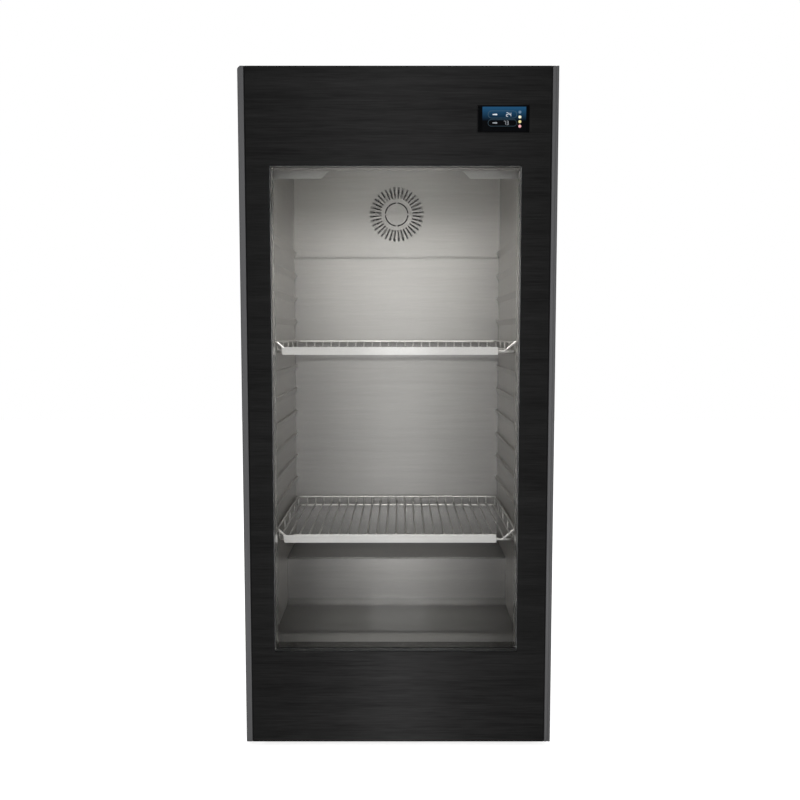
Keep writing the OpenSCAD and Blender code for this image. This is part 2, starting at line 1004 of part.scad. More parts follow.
// Shallow tray hung under the deck by two straps
module evaporation_tray() {
    half_w = tray_w / 2;
    y = span(duct_mid_y, tray_d / 2);
    z = [tray_top - tray_h, tray_top];
    color(black_plastic) placed()
        translate([drain_x, 0, 0]) {
            difference() {
                block([-half_w, half_w], y, z);
                block(
                    [tray_wall - half_w, half_w - tray_wall],
                    [y[0] + tray_wall, y[1] - tray_wall],
                    [z[0] + tray_wall, z[1] + 1]
                );
            }
            both_sides()
                block(
                    [half_w - tray_wall, half_w],
                    span(duct_mid_y, hanger_w / 2),
                    [tray_top - eps, tray_top + tray_drop]
                );
        }
}

drain_tip = 8;

module drain_tube() {
    z = [tray_top - tray_h + tray_wall + drain_tip, step_z];
    color(rubber_grey) placed()
        difference() {
            rod_z_run(drain_x, duct_mid_y, z, drain_r);
            rod_z_run(drain_x, duct_mid_y, [z[0] - 1, z[1] + 1], drain_r - drain_wall);
        }
}

louvre_hood = 4;
louvre_t = 1;
louvre_web = 10;
inlet_x = half_body - inlet_in;
inlet_z = pan_z + inlet_up;
inlet_fit = 0.2;
inlet_flange = 6;
inlet_flange_t = 2;

// Places of the louvres on the machine cover
module at_louvres() {
    middle = (pan_z + machine_cover_z) / 2;
    for (i = [0 : louvre_cols - 1], k = [0 : louvre_rows - 1])
        translate([
            (i - (louvre_cols - 1) / 2) * (louvre_l + louvre_web),
            body_rear,
            middle + (k - (louvre_rows - 1) / 2) * louvre_step
        ])
            children();
}

// Rear cover with rows of hooded air slots
module machine_cover() {
    half_l = louvre_l / 2;
    half_w = inlet_w / 2 + inlet_wall + inlet_fit;
    half_h = inlet_h / 2 + inlet_wall + inlet_fit;
    color(grey_steel) placed() {
        difference() {
            block([-half_skin, half_skin], [back_in, body_rear], [pan_z, machine_cover_z]);
            at_louvres()
                block([-half_l, half_l], [-2 * skin, 1], louvre_h / 2 * [-1, 1]);
            block(
                span(inlet_x, half_w),
                [back_in - 1, body_rear + 1],
                span(inlet_z, half_h)
            );
        }
        at_louvres()
            along_x([-half_l, half_l])
                polygon([
                    [-eps, louvre_h / 2],
                    [-eps, louvre_h / 2 + louvre_t],
                    [louvre_hood, louvre_t - louvre_h / 2],
                    [louvre_hood, -louvre_h / 2]
                ]);
    }
}

cover_screw_in = 14;

// Screw heads round the machine cover and the back panel
module cover_screws() {
    low = [pan_z + cover_screw_in, machine_cover_z - cover_screw_in];
    high = [machine_cover_z + cover_screw_in, roof_in - cover_screw_in];
    color(stainless) placed()
        both_sides()
            for (z = concat(low, high))
                rod_y_run(half_skin - cover_screw_in, [body_rear, body_rear + screw_h], z, screw_r);
}

pin_blade = [4, 2];
pin_rows = [[-7, -3], [0, 3], [7, -3]];

// Appliance inlet: flanged box with a recess and three blades
module power_inlet() {
    mouth = body_rear + inlet_flange_t;
    half_w = inlet_w / 2;
    half_h = inlet_h / 2;
    floor_y = mouth - inlet_d;
    color(black_plastic) placed()
        translate([inlet_x, 0, inlet_z]) {
            difference() {
                union() {
                    block(
                        (half_w + inlet_wall) * [-1, 1],
                        [floor_y - inlet_wall, mouth],
                        (half_h + inlet_wall) * [-1, 1]
                    );
                    block(
                        (half_w + inlet_flange) * [-1, 1],
                        [body_rear, mouth],
                        (half_h + inlet_flange) * [-1, 1]
                    );
                }
                block([-half_w, half_w], [floor_y, mouth + 1], [-half_h, half_h]);
            }
            for (p = pin_rows)
                block(
                    span(p[0], pin_blade[1] / 2),
                    [floor_y - eps, floor_y + inlet_pin],
                    span(p[1], pin_blade[0] / 2)
                );
        }
}

// Hinge, spacers and feet

hinge_foot_in = 3;
hinge_foot_left = door_left + hinge_foot_in;
hinge_foot_r = 6;

// Flat plate with round corners
module rounded_plate(x, y, z, r) {
    translate([0, 0, z[0]])
        linear_extrude(z[1] - z[0]) {
            translate([x[0] + r, y[0]])
                square([x[1] - x[0] - 2 * r, y[1] - y[0]]);
            translate([x[0], y[0] + r])
                square([x[1] - x[0], y[1] - y[0] - 2 * r]);
            for (cx = [x[0] + r, x[1] - r], cy = [y[0] + r, y[1] - r])
                translate([cx, cy])
                    circle(r);
        }
}

// Arm of a hinge plate from its pin back to the cabinet
module hinge_arm_plate(z, rear) {
    rod_z_run(hinge_x, hinge_back, z, hinge_arm);
    block(span(hinge_x, hinge_arm), [hinge_back, rear], z);
}

// Plate on the roof with a pin that points down into the door
module top_hinge_bracket() {
    foot_x = [hinge_foot_left, hinge_foot_left + hinge_foot_w];
    z = [roof_z, roof_z + hinge_t];
    color(aluminium_grey) placed() {
        hinge_arm_plate(z, body_front + eps);
        rounded_plate(foot_x, [body_front, body_front + hinge_foot_d], z, hinge_foot_r);
        rod_z_run(hinge_x, hinge_back, [roof_z - pin_l, roof_z + eps], pin_r);
    }
}

// Plate under the base pan with a pin that points up into the door
module bottom_hinge_bracket() {
    foot_x = [hinge_foot_left, hinge_foot_left + hinge_foot_w];
    z = [low_plate_z, low_pin_z];
    color(aluminium_grey) placed() {
        hinge_arm_plate(z, body_front + eps);
        rounded_plate(foot_x, [body_front, shell_front + hinge_foot_d], z, hinge_foot_r);
        block(
            foot_x + hinge_foot_r * [1, -1],
            [shell_front, shell_front + hinge_foot_d - hinge_foot_r],
            [low_pin_z - eps, foot_h]
        );
        rod_z_run(hinge_x, hinge_back, [low_pin_z - eps, low_pin_z + pin_l], pin_r);
    }
}

hinge_screw_in = 13;

module hinge_screws() {
    rows = [hinge_screw_in, hinge_foot_d - hinge_screw_in];
    color(stainless) placed()
        for (y = rows) {
            rod_z_run(
                hinge_foot_left + hinge_foot_w / 2,
                body_front + y,
                [roof_z + hinge_t, roof_z + hinge_t + screw_h],
                screw_r
            );
            rod_z_run(
                hinge_foot_left + hinge_foot_w / 2,
                shell_front + y,
                [low_plate_z - screw_h, low_plate_z],
                screw_r
            );
        }
}

spacer_taper = 8;

// Moulded stand-offs that keep the cabinet clear of the wall
module rear_spacers() {
    half_s = spacer_s / 2;
    tip = half_s - spacer_taper;
    color(black_plastic) placed()
        for (x = (half_body - spacer_in) * [-1, 1])
            along_x(span(x, half_s))
                translate([0, roof_z - spacer_drop])
                    polygon([
                        [body_rear, -half_s],
                        [total_d, -tip],
                        [total_d, tip],
                        [body_rear, half_s]
                    ]);
}

foot_pad = 5;
foot_slope = 3;
stem_r = 10;

// Levelling feet: a broad pad that slopes in to its stem
module feet() {
    color(black_plastic) placed()
        for (x = (half_body - foot_in) * [-1, 1], y = [shell_front + 2 * foot_in, body_rear - foot_in])
            translate([x, y, 0])
                rotate_extrude()
                    polygon([
                        [0, 0],
                        [foot_r, 0],
                        [foot_r, foot_pad],
                        [stem_r, foot_pad + foot_slope],
                        [stem_r, foot_h],
                        [0, foot_h]
                    ]);
}

// Door

module door_front_plate() {
    half_w = display_w / 2 + display_gap;
    half_h = display_h / 2 + display_gap;
    color(black_steel) placed() {
        difference() {
            block([plate_left + plate_gap, plate_right - plate_gap], [0, plate_t], [door_z, total_h]);
            block([-half_window, half_window], [-1, plate_t + 1], [window_low, window_high]);
            block(span(display_x, half_w), [-1, plate_t + 1], span(display_z, half_h));
        }
        ring(
            half_window + plate_t,
            [window_low - plate_t, window_high + plate_t],
            half_window,
            [window_low, window_high],
            [plate_t - eps, outer_pane_y]
        );
    }
}

// What a rounded corner lacks of a sharp one that points to -x and -y
module corner_cut(r) {
    difference() {
        translate([-1, -1])
            square(r + 1);
        translate([r, r])
            circle(r);
    }
}

// Hollow edge extrusion on the hinge side, notched behind its front where the hinge plate passes
module left_edge_profile() {
    color(aluminium_grey) placed()
        difference() {
            translate([door_left, 0, door_z])
                linear_extrude(total_h - door_z)
                    difference() {
                        square([strip_w, door_t]);
                        translate([profile_wall, profile_wall])
                            square([strip_w - 2 * profile_wall, door_t - 2 * profile_wall]);
                        corner_cut(edge_r);
                        translate([0, door_t])
                            mirror([0, 1])
                                corner_cut(edge_r);
                    }
            hinge_notch();
            translate([door_left, door_t / 2, total_h])
                rotate([0, 45, 0])
                    cube([top_bevel * sqrt(2), door_t + 2, top_bevel * sqrt(2)], center = true);
        }
}

// Hollow edge extrusion with the finger channel in its outer side and a groove down its front
module right_grip_profile() {
    front = (door_t - grip_gap) / 2;
    rear = front + grip_gap;
    hollow_w = grip_w - 2 * profile_wall;
    color(aluminium_grey) placed()
        translate([0, 0, door_z])
            linear_extrude(total_h - door_z)
                difference() {
                    union() {
                        translate([grip_left, plate_t])
                            square([grip_w, door_t - plate_t]);
                        translate([plate_right, 0])
                            square([strip_w, door_t]);
                    }
                    translate([door_right - grip_in, front])
                        square([grip_in + 1, grip_gap]);
                    translate([grip_left + profile_wall, plate_t + profile_wall])
                        square([hollow_w, front - plate_t - 2 * profile_wall]);
                    translate([grip_left + profile_wall, rear + profile_wall])
                        square([hollow_w, door_t - rear - 2 * profile_wall]);
                    translate([door_right - strip_w / 2 - groove_w / 2, -1])
                        square([groove_w, groove_d + 1]);
                    for (y = [0, rear])
                        translate([door_right, y])
                            mirror([1, 0])
                                corner_cut(edge_r);
                    for (y = [front, door_t])
                        translate([door_right, y])
                            rotate(180)
                                corner_cut(edge_r);
                }
}

// Notch in the door's top corner for the hinge plate
module hinge_notch() {
    block([door_left - 1, recess_right], [recess_y, door_t + 1], [recess_z, total_h + 1]);
}

// Moulded end cap: solid round the hinge bush, hollow towards the door's middle elsewhere
module end_cap(z, pocket_z) {
    difference() {
        block([plate_left, grip_left], [plate_t, door_back_y], z);
        block(
            [plate_left + cap_solid, grip_left - cap_wall],
            [plate_t + cap_wall, door_back_y - cap_wall],
            pocket_z
        );
        rod_z_run(hinge_x, hinge_back, [z[0] - 1, z[1] + 1], bush_r);
    }
}

module door_top_cap() {
    color(black_plastic) placed()
        difference() {
            end_cap([cap_high_low, total_h], [cap_high_low - 1, total_h - cap_wall]);
            hinge_notch();
        }
}

module door_bottom_cap() {
    color(black_plastic) placed()
        end_cap([door_z, cap_low_top], [door_z + cap_wall, cap_low_top + 1]);
}

module door_foam() {
    half_w = display_w / 2 + display_back_rim;
    half_h = display_h / 2 + display_back_rim;
    color(foam_cream) placed()
        difference() {
            block([plate_left, grip_left], [plate_t, door_back_y], [cap_low_top, cap_high_low]);
            block([-half_glass, half_glass], [0, door_t], [glass_low, glass_high]);
            block(span(display_x, half_w), [0, display_d], span(display_z, half_h));
        }
}

// Back pan of the door with the window's tunnel and the flange that holds the glass
module inner_door_frame() {
    color(stainless) placed() {
        difference() {
            block([plate_left, grip_left], [door_back_y, door_t], [door_z, total_h]);
            block([-half_window, half_window], [0, door_t + 1], [window_low, window_high]);
            hinge_notch();
        }
        ring(
            half_window + plate_t,
            [window_low - plate_t, window_high + plate_t],
            half_window,
            [window_low, window_high],
            [stop_y, door_back_y + eps]
        );
        ring(
            half_glass,
            [glass_low, glass_high],
            half_window,
            [window_low, window_high],
            [stop_y, stop_y + plate_t]
        );
    }
}

module pane(y) {
    color(clear_glass) placed()
        block([-half_glass, half_glass], [y, y + pane_t], [glass_low, glass_high]);
}

module outer_pane() {
    pane(outer_pane_y);
}

module inner_pane() {
    pane(inner_pane_y);
}

// Spacer between the panes, flush with the window's edge
module glazing_spacer() {
    color(aluminium_grey) placed()
        ring(
            half_glass,
            [glass_low, glass_high],
            half_window,
            [window_low, window_high],
            [spacer_y, inner_pane_y]
        );
}

seal_in = 1;
seal_gap = 0.3;
seal_base = 3;
seal_head = 3.2;
seal_waist = 2.5;

// One layer of the door's seal, drawn in by an inset on both its sides
module seal_layer(inset, y) {
    half_seal = half_in + seal_in;
    low = floor_z - seal_in;
    high = ceiling_z + seal_in;
    outer = gasket_w - inset;
    ring(
        half_seal + outer,
        [low - outer, high + outer],
        half_seal + inset,
        [low - inset, high + inset],
        y
    );
}

// Magnetic seal on the door's back: its base, its bellows and its magnet, just clear of the front frame
module door_gasket() {
    rear = body_front - seal_gap;
    color(rubber_grey) placed() {
        seal_layer(0, [door_t, door_t + seal_base]);
        seal_layer(seal_waist, [door_t + seal_base - eps, rear - seal_head + eps]);
        seal_layer(0, [rear - seal_head, rear]);
    }
}

module display_housing() {
    half_w = display_w / 2;
    half_h = display_h / 2;
    back_w = half_w + display_back_rim;
    back_h = half_h + display_back_rim;
    color(black_plastic) placed()
        translate([display_x, 0, display_z])
            difference() {
                union() {
                    block([-half_w, half_w], [0, display_d], [-half_h, half_h]);
                    block([-back_w, back_w], [plate_t, 2 * plate_t], [-back_h, back_h]);
                }
                block(
                    (half_w - bezel_w) * [-1, 1],
                    [-1, lens_in + lens_t],
                    (half_h - bezel_w) * [-1, 1]
                );
            }
}

module display_lens() {
    half_w = display_w / 2 - bezel_w - display_gap;
    half_h = display_h / 2 - bezel_w - display_gap;
    color(black_plastic) placed()
        translate([display_x, 0, display_z])
            block([-half_w, half_w], [lens_in, lens_in + lens_t], [-half_h, half_h]);
}

// Flanged bush for a hinge pin: sleeve over the pair z, flange over the pair flange_z
module hinge_bush(z, flange_z) {
    difference() {
        union() {
            rod_z_run(hinge_x, hinge_back, z, bush_r);
            rod_z_run(hinge_x, hinge_back, flange_z, bush_flange_r);
        }
        rod_z_run(hinge_x, hinge_back, [door_z - hinge_t, total_h], pin_r + pin_clear);
    }
}

module hinge_bushes() {
    color(bright_wire) placed() {
        hinge_bush([cap_high_low, recess_z + eps], [recess_z, recess_z + flange_t]);
        hinge_bush([door_z - eps, cap_low_top], [door_z - flange_t, door_z]);
    }
}

// Shelves

// Ear of the rim wire: bent inwards at the front, then slanted down to the frame wire
module rim_ear() {
    start = rim_x - ear_bend;
    drop = rim_r - frame_z;
    translate([start, front_wire_y + ear_bend, rim_r])
        mirror([0, 1, 0])
            elbow(ear_bend, rim_r);
    translate([start, front_wire_y, rim_r]) {
        sphere(rim_r);
        rotate([0, -90 - ear_slope, 0])
            cylinder(r = rim_r, h = drop / sin(ear_slope));
    }
}

// Rim wire on three sides, with an ear at each front end
module rim_wire(rear) {
    both_sides() {
        rod_y_run(rim_x, [front_wire_y + ear_bend, rear - rim_bend], rim_r, rim_r);
        translate([rim_x - rim_bend, rear - rim_bend, rim_r])
            elbow(rim_bend, rim_r);
        rim_ear();
    }
    rod_x_run((rim_x - rim_bend) * [-1, 1], rear, rim_r, rim_r);
}

// Frame wire: a closed loop with round corners, under the grid wires
module frame_wire(rear) {
    side = [front_wire_y + frame_bend, rear - frame_bend];
    translate([0, 0, frame_z]) {
        both_sides() {
            rod_y_run(frame_x, side, 0, rim_r);
            translate([frame_x - frame_bend, side[1], 0])
                elbow(frame_bend, rim_r);
            translate([frame_x - frame_bend, side[0], 0])
                mirror([0, 1, 0])
                    elbow(frame_bend, rim_r);
        }
        for (y = [front_wire_y, rear])
            rod_x_run((frame_x - frame_bend) * [-1, 1], y, 0, rim_r);
    }
}

// Welded basket: rim wire, frame wire, posts between them, and grid wires bent up to the rim at the rear
module wire_shelf(rest) {
    rear = shelf_rear - rim_r;
    wire_rear = rear - rim_r - wire_r + weld;
    frame_rear = wire_rear - wire_bend - rim_r;
    first_post = front_wire_y + frame_bend;
    post_step = (frame_rear - frame_bend - first_post) / (posts - 1);
    translate([0, 0, rest + rest_gap]) {
        rim_wire(rear);
        frame_wire(frame_rear);
        both_sides()
            for (i = [0 : posts - 1])
                rod_z_run(post_x, first_post + i * post_step, [frame_z, rim_r], wire_r);
        for (i = [-wires_per_side : wires_per_side])
            grid_wire(i * wire_step, front_wire_y - rim_r, wire_rear);
    }
}

wire_bend = 5;

// One grid wire from the front wire to the rear, with its end bent up to the rim
module grid_wire(x, front, rear) {
    rod_y_run(x, [front, rear - wire_bend], wire_z, wire_r);
    translate([x, rear - wire_bend, wire_z + wire_bend])
        rotate([0, -90, 0])
            rotate(180)
                mirror([0, 1, 0])
                    elbow(wire_bend, wire_r);
    rod_z_run(x, rear, [wire_z + wire_bend, rim_r], wire_r);
}

bar_slant = 2.5;
bar_notch = 22;

// Label rail over the front wire: a channel open to the rear, its flanges cut back where the left ear passes
module shelf_bar(rest) {
    left = bar_left_in - half_shelf;
    right = half_shelf - bar_right_in;
    low = -bar_drop - bar_h;
    translate([0, 0, rest + rest_gap]) {
        along_y([shelf_y, shelf_y + bar_t])
            polygon([
                [left + bar_slant, low],
                [right, low],
                [right, -bar_drop],
                [left, -bar_drop]
            ]);
        for (z = [[low, low + bar_t], [-bar_drop - bar_t, -bar_drop]])
            block([left + bar_notch, right], [shelf_y, shelf_y + bar_d], z);
    }
}

module upper_wire_shelf() {
    color(bright_wire) placed()
        wire_shelf(upper_rest);
}

module upper_shelf_bar() {
    color(bright_wire) placed()
        shelf_bar(upper_rest);
}

module lower_wire_shelf() {
    color(bright_wire) placed()
        wire_shelf(lower_rest);
}

module lower_shelf_bar() {
    color(bright_wire) placed()
        shelf_bar(lower_rest);
}

left_side_panel();
right_side_panel();
top_panel();
back_panel();
base_pan();
front_frame();
cabinet_foam();
left_liner_wall();
right_liner_wall();
ceiling_liner();
rear_liner();
floor_liner();
left_shelf_runners();
right_shelf_runners();
evaporator_cover();
duct_cover();
evaporator_coil();
evaporator_fan_frame();
evaporator_fan_motor();
evaporator_fan_rotor();
light_valance();
light_bar();
light_diffuser();
compressor_deck();
compressor();
compressor_mounts();
condenser_coil();
condenser_fan_frame();
condenser_fan_motor();
condenser_fan_rotor();
evaporation_tray();
drain_tube();
refrigerant_lines();
machine_cover();
cover_screws();
power_inlet();
top_hinge_bracket();
bottom_hinge_bracket();
hinge_screws();
rear_spacers();
feet();
door_front_plate();
left_edge_profile();
right_grip_profile();
door_top_cap();
door_bottom_cap();
door_foam();
inner_door_frame();
outer_pane();
glazing_spacer();
inner_pane();
door_gasket();
display_housing();
display_lens();
hinge_bushes();
upper_wire_shelf();
upper_shelf_bar();
lower_wire_shelf();
lower_shelf_bar();
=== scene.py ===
"""Looks of a glass-door dry-ageing cabinet.

Laid out as an add-on and run as a script: each operator finishes one piece or group of like pieces
round the fixed frame, and the stage operator adds floor, light and camera. Lengths are metres.
"""

import math

import bmesh
import bpy
import numpy as np
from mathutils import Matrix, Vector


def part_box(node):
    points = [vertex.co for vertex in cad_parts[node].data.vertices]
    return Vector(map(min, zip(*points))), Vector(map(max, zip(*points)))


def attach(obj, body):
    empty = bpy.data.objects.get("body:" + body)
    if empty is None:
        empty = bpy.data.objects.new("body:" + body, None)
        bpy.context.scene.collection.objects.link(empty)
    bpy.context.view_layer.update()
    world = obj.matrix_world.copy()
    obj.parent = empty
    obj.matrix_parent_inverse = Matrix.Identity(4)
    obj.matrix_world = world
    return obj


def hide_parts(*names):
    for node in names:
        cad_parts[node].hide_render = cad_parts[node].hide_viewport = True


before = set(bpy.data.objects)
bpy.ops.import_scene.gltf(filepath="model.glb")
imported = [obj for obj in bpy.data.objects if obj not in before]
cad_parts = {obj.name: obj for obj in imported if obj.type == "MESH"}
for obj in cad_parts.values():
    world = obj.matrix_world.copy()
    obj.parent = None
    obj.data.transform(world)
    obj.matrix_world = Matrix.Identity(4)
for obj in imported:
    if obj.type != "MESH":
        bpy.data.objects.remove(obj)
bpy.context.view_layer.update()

bl_info = {
    "name": "Dry-ageing cabinet",
    "version": (1, 0, 0),
    "blender": (4, 5, 0),
    "location": "3D View > Sidebar > Cabinet",
    "description": "Finishes, fine pieces and studio for a glass-door dry-ageing cabinet",
    "category": "Object",
}

MM = 0.001
X, Y, Z = 0, 1, 2


def span(node):
    """Lowest and highest corner of a node as two arrays."""
    low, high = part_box(node)
    return np.array(low), np.array(high)


PLATE_LOW, PLATE_HIGH = span("door_front_plate")
LENS_LOW, LENS_HIGH = span("display_lens")
FRONT_Y = PLATE_LOW[Y]


class CabinetSizes(bpy.types.PropertyGroup):
    """Sizes that a user would change."""

    bead_radius: bpy.props.FloatProperty(
        name="Slot bead",
        description="Radius of the rolled edge round each slot of the fan grille",
        default=0.7 * MM, unit="LENGTH")
    slot_count: bpy.props.IntProperty(
        name="Slots", description="Number of slots in the fan grille", default=36)
    slot_inner_radius: bpy.props.FloatProperty(
        name="Slot inner radius",
        description="Radius at the inner ends of the fan grille's slots",
        default=39 * MM, unit="LENGTH")
    slot_outer_radius: bpy.props.FloatProperty(
        name="Slot outer radius",
        description="Radius at the outer ends of the fan grille's slots",
        default=67 * MM, unit="LENGTH")
    slot_inner_width: bpy.props.FloatProperty(
        name="Slot inner width",
        description="Width of a slot at its inner end",
        default=3 * MM, unit="LENGTH")
    slot_outer_width: bpy.props.FloatProperty(
        name="Slot outer width",
        description="Width of a slot at its outer end",
        default=4.6 * MM, unit="LENGTH")
    seal_width: bpy.props.FloatProperty(
        name="Seal width",
        description="Width of the door seal's section",
        default=11 * MM, unit="LENGTH")
    screw_radius: bpy.props.FloatProperty(
        name="Screw head",
        description="Radius of the screw heads",
        default=4 * MM, unit="LENGTH")
    digit_height: bpy.props.FloatProperty(
        name="Digit height",
        description="Height of the numbers on the display",
        default=6.6 * MM, unit="LENGTH")
    lamp_power: bpy.props.FloatProperty(
        name="Lamp power",
        description="Power of the lamp under the ceiling",
        default=6.8, unit="POWER")
    lamp_reach: bpy.props.FloatProperty(
        name="Lamp reach",
        description="Width over which the lamp and the bright sheet round it shine",
        default=500 * MM, unit="LENGTH")
    lamp_depth: bpy.props.FloatProperty(
        name="Lamp depth",
        description="Depth over which the lamp and the bright sheet behind it shine",
        default=60 * MM, unit="LENGTH")
    lamp_tilt: bpy.props.FloatProperty(
        name="Lamp tilt",
        description="Angle by which the lamp turns away from the rear wall",
        default=math.radians(8), subtype="ANGLE")
    lamp_spread: bpy.props.FloatProperty(
        name="Lamp spread",
        description="Angle over which the lamp shines",
        default=math.radians(165), subtype="ANGLE")
    front_power: bpy.props.FloatProperty(
        name="Front light",
        description="Power of the tall light behind the camera",
        default=30.0, unit="POWER")
    top_power: bpy.props.FloatProperty(
        name="Top light",
        description="Power of the light above the cabinet",
        default=40.0, unit="POWER")
    low_power: bpy.props.FloatProperty(
        name="Low light",
        description="Power of the light near the floor in front",
        default=1.2, unit="POWER")
    ambient: bpy.props.FloatProperty(
        name="Ambient", description="Strength of the white surroundings as a light", default=0.5)
    camera_x: bpy.props.FloatProperty(
        name="Camera offset",
        description="Distance of the camera to the right of the middle",
        default=3.3 * MM, unit="LENGTH")
    camera_distance: bpy.props.FloatProperty(
        name="Camera distance",
        description="Distance of the camera in front of the door",
        default=1.582, unit="LENGTH")
    camera_height: bpy.props.FloatProperty(
        name="Camera height",
        description="Height of the camera above the floor",
        default=0.803, unit="LENGTH")
    camera_pitch: bpy.props.FloatProperty(
        name="Camera pitch",
        description="Angle by which the camera looks down",
        default=math.radians(4.38), subtype="ANGLE")
    camera_lens: bpy.props.FloatProperty(
        name="Focal length",
        description="Focal length in millimetres on a 36 mm sensor",
        default=37.58)


class CabinetColours(bpy.types.PropertyGroup):
    """Colours as sRGB hex codes."""

    black_steel: bpy.props.StringProperty(
        name="Black steel", description="Coated steel of the door's front", default="#1B1B1B")
    stainless: bpy.props.StringProperty(
        name="Stainless", description="Brushed stainless steel of the inner space", default="#7E7D7B")
    edge_grey: bpy.props.StringProperty(
        name="Edge grey", description="Anodised aluminium of the door's edges", default="#454546")
    body_grey: bpy.props.StringProperty(
        name="Body grey", description="Coated steel of the cabinet's sides", default="#5A5B5F")
    lamp: bpy.props.StringProperty(
        name="Lamp", description="Light of the lamp under the ceiling", default="#FFFEFB")
    screen_blue: bpy.props.StringProperty(
        name="Screen blue", description="Glow at the top of the display", default="#1F4C6E")


def sizes():
    """Sizes set in the scene."""
    return bpy.context.scene.cabinet_sizes


def colours():
    """Colours set in the scene."""
    return bpy.context.scene.cabinet_colours


def hex_rgba(code):
    """Linear colour of an sRGB hex code."""
    values = [int(code[i:i + 2], 16) / 255 for i in (1, 3, 5)]
    return tuple(v / 12.92 if v <= 0.04045 else ((v + 0.055) / 1.055) ** 2.4 for v in values) + (1.0,)


# Surfaces

def grid_quads(rows, cols, wrap_rows=False, wrap_cols=False):
    """Corner numbers of the quads between neighbours on a grid of rows times cols points."""
    r = np.arange(rows if wrap_rows else rows - 1)[:, None]
    c = np.arange(cols if wrap_cols else cols - 1)[None, :]
    r_next = (r + 1) % rows
    c_next = (c + 1) % cols
    corners = [r * cols + c, r * cols + c_next, r_next * cols + c_next, r_next * cols + c]
    return np.stack(np.broadcast_arrays(*corners), -1).reshape(-1, 4)


def joined(parts):
    """One pair of points and faces from several, with the face numbers moved on."""
    starts = np.cumsum([0] + [len(points) for points, _ in parts[:-1]])
    points = np.concatenate([points for points, _ in parts])
    return points, np.concatenate([faces + start for (_, faces), start in zip(parts, starts)])


def close_up(mesh):
    """Merge the points that coincide at seams and poles, and turn every face outwards."""
    shape = bmesh.new()
    shape.from_mesh(mesh)
    bmesh.ops.remove_doubles(shape, verts=shape.verts, dist=0.001 * MM)
    bmesh.ops.recalc_face_normals(shape, faces=shape.faces)
    shape.to_mesh(mesh)
    shape.free()


def add_piece(name, surface, body, material, flat=False, uv=None):
    """Mesh object from points and faces, which rides on a body and takes one material.

    A flat print keeps its points as they are; any other piece is closed and smooth.
    """
    points, faces = surface
    mesh = bpy.data.meshes.new(name)
    mesh.vertices.add(len(points))
    mesh.vertices.foreach_set("co", np.asarray(points, np.float32).ravel())
    mesh.loops.add(faces.size)
    mesh.loops.foreach_set("vertex_index", faces.astype(np.int32).ravel())
    mesh.polygons.add(len(faces))
    mesh.polygons.foreach_set("loop_start", np.arange(0, faces.size, faces.shape[1], dtype=np.int32))
    mesh.polygons.foreach_set("use_smooth", np.full(len(faces), not flat))
    if uv is not None:
        layer = mesh.uv_layers.new(name="surface")
        layer.data.foreach_set("uv", np.asarray(uv, np.float32)[faces.ravel()].ravel())
    mesh.update(calc_edges=True)
    mesh.validate()
    if not flat:
        close_up(mesh)
    piece = bpy.data.objects.new(name, mesh)
    bpy.context.scene.collection.objects.link(piece)
    mesh.materials.append(material)
    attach(piece, body)
    return piece


def mitred_frame(centre, half_x, half_z, profile):
    """Profile carried round a rectangle that faces the door's front, mitred at its corners.

    A profile point (u, v) gives, at each corner of signs (sx, sz), the point
    centre + (sx (half_x + u), v, sz (half_z + u)).
    """
    signs = np.array([(-1, -1), (1, -1), (1, 1), (-1, 1)])
    u, v = np.asarray(profile).T
    points = np.empty((4, len(u), 3))
    points[..., X] = centre[X] + signs[:, :1] * (half_x + u)
    points[..., Y] = centre[Y] + v
    points[..., Z] = centre[Z] + signs[:, 1:] * (half_z + u)
    return points.reshape(-1, 3), grid_quads(4, len(u), wrap_rows=True, wrap_cols=True)


def tube(path, radius, sides=8):
    """Round bead along a closed path in a plane of constant y.

    Each ring is path + radius (cos a n + sin a y), where n is the path's normal in its plane.
    """
    step = np.roll(path, -1, 0) - np.roll(path, 1, 0)
    normal = np.stack([step[:, Z], np.zeros(len(path)), -step[:, X]], -1)
    normal /= np.linalg.norm(normal, axis=1, keepdims=True)
    angle = np.linspace(0, 2 * np.pi, sides, endpoint=False)
    ring = np.cos(angle)[None, :, None] * normal[:, None] + np.sin(angle)[None, :, None] * np.eye(3)[Y]
    points = path[:, None] + radius * ring
    return points.reshape(-1, 3), grid_quads(len(path), sides, wrap_rows=True, wrap_cols=True)


def rounded_strip(x, y, z, steps=8):
    """Strip between two values of x and z whose front is a half ellipse that bulges from y[1] to y[0].

    Round the section at angle t it is (middle + half width cos t, y[1] - depth sin t), and its back
    closes it. At both ends the section shrinks to its middle, which closes the strip. A second section,
    one width in from each end, keeps the smooth turn of the end out of the run.
    """
    angle = np.linspace(0, np.pi, steps)
    width = x[1] - x[0]
    rows = np.array([z[0], z[0], z[0] + width, z[1] - width, z[1], z[1]])[:, None]
    share = np.array([0, 1, 1, 1, 1, 0])[:, None]
    points = np.empty((len(rows), steps, 3))
    points[..., X] = np.mean(x) + share * width / 2 * np.cos(angle)
    points[..., Y] = y[1] - share * (y[1] - y[0]) * np.sin(angle)
    points[..., Z] = rows
    return points.reshape(-1, 3), grid_quads(len(rows), steps, wrap_cols=True)


# Materials

# Unlit print and acrylic of the display, and their faint gloss
PRINT_BLACK = "#020203"
PRINT_GLOSS = 0.02


def new_material(name):
    """Empty Principled material, its node tree and its shader."""
    material = bpy.data.materials.new(name)
    material.use_nodes = True
    return material, material.node_tree, material.node_tree.nodes["Principled BSDF"]


def feed(socket, value):
    """Set an input to a value, or link it to another node's output."""
    if isinstance(value, bpy.types.NodeSocket):
        socket.id_data.links.new(value, socket)
    else:
        socket.default_value = value


def set_inputs(node, **inputs):
    """Feed a node's inputs by name, with an underscore for each blank."""
    for key, value in inputs.items():
        feed(node.inputs[key.replace("_", " ")], value)


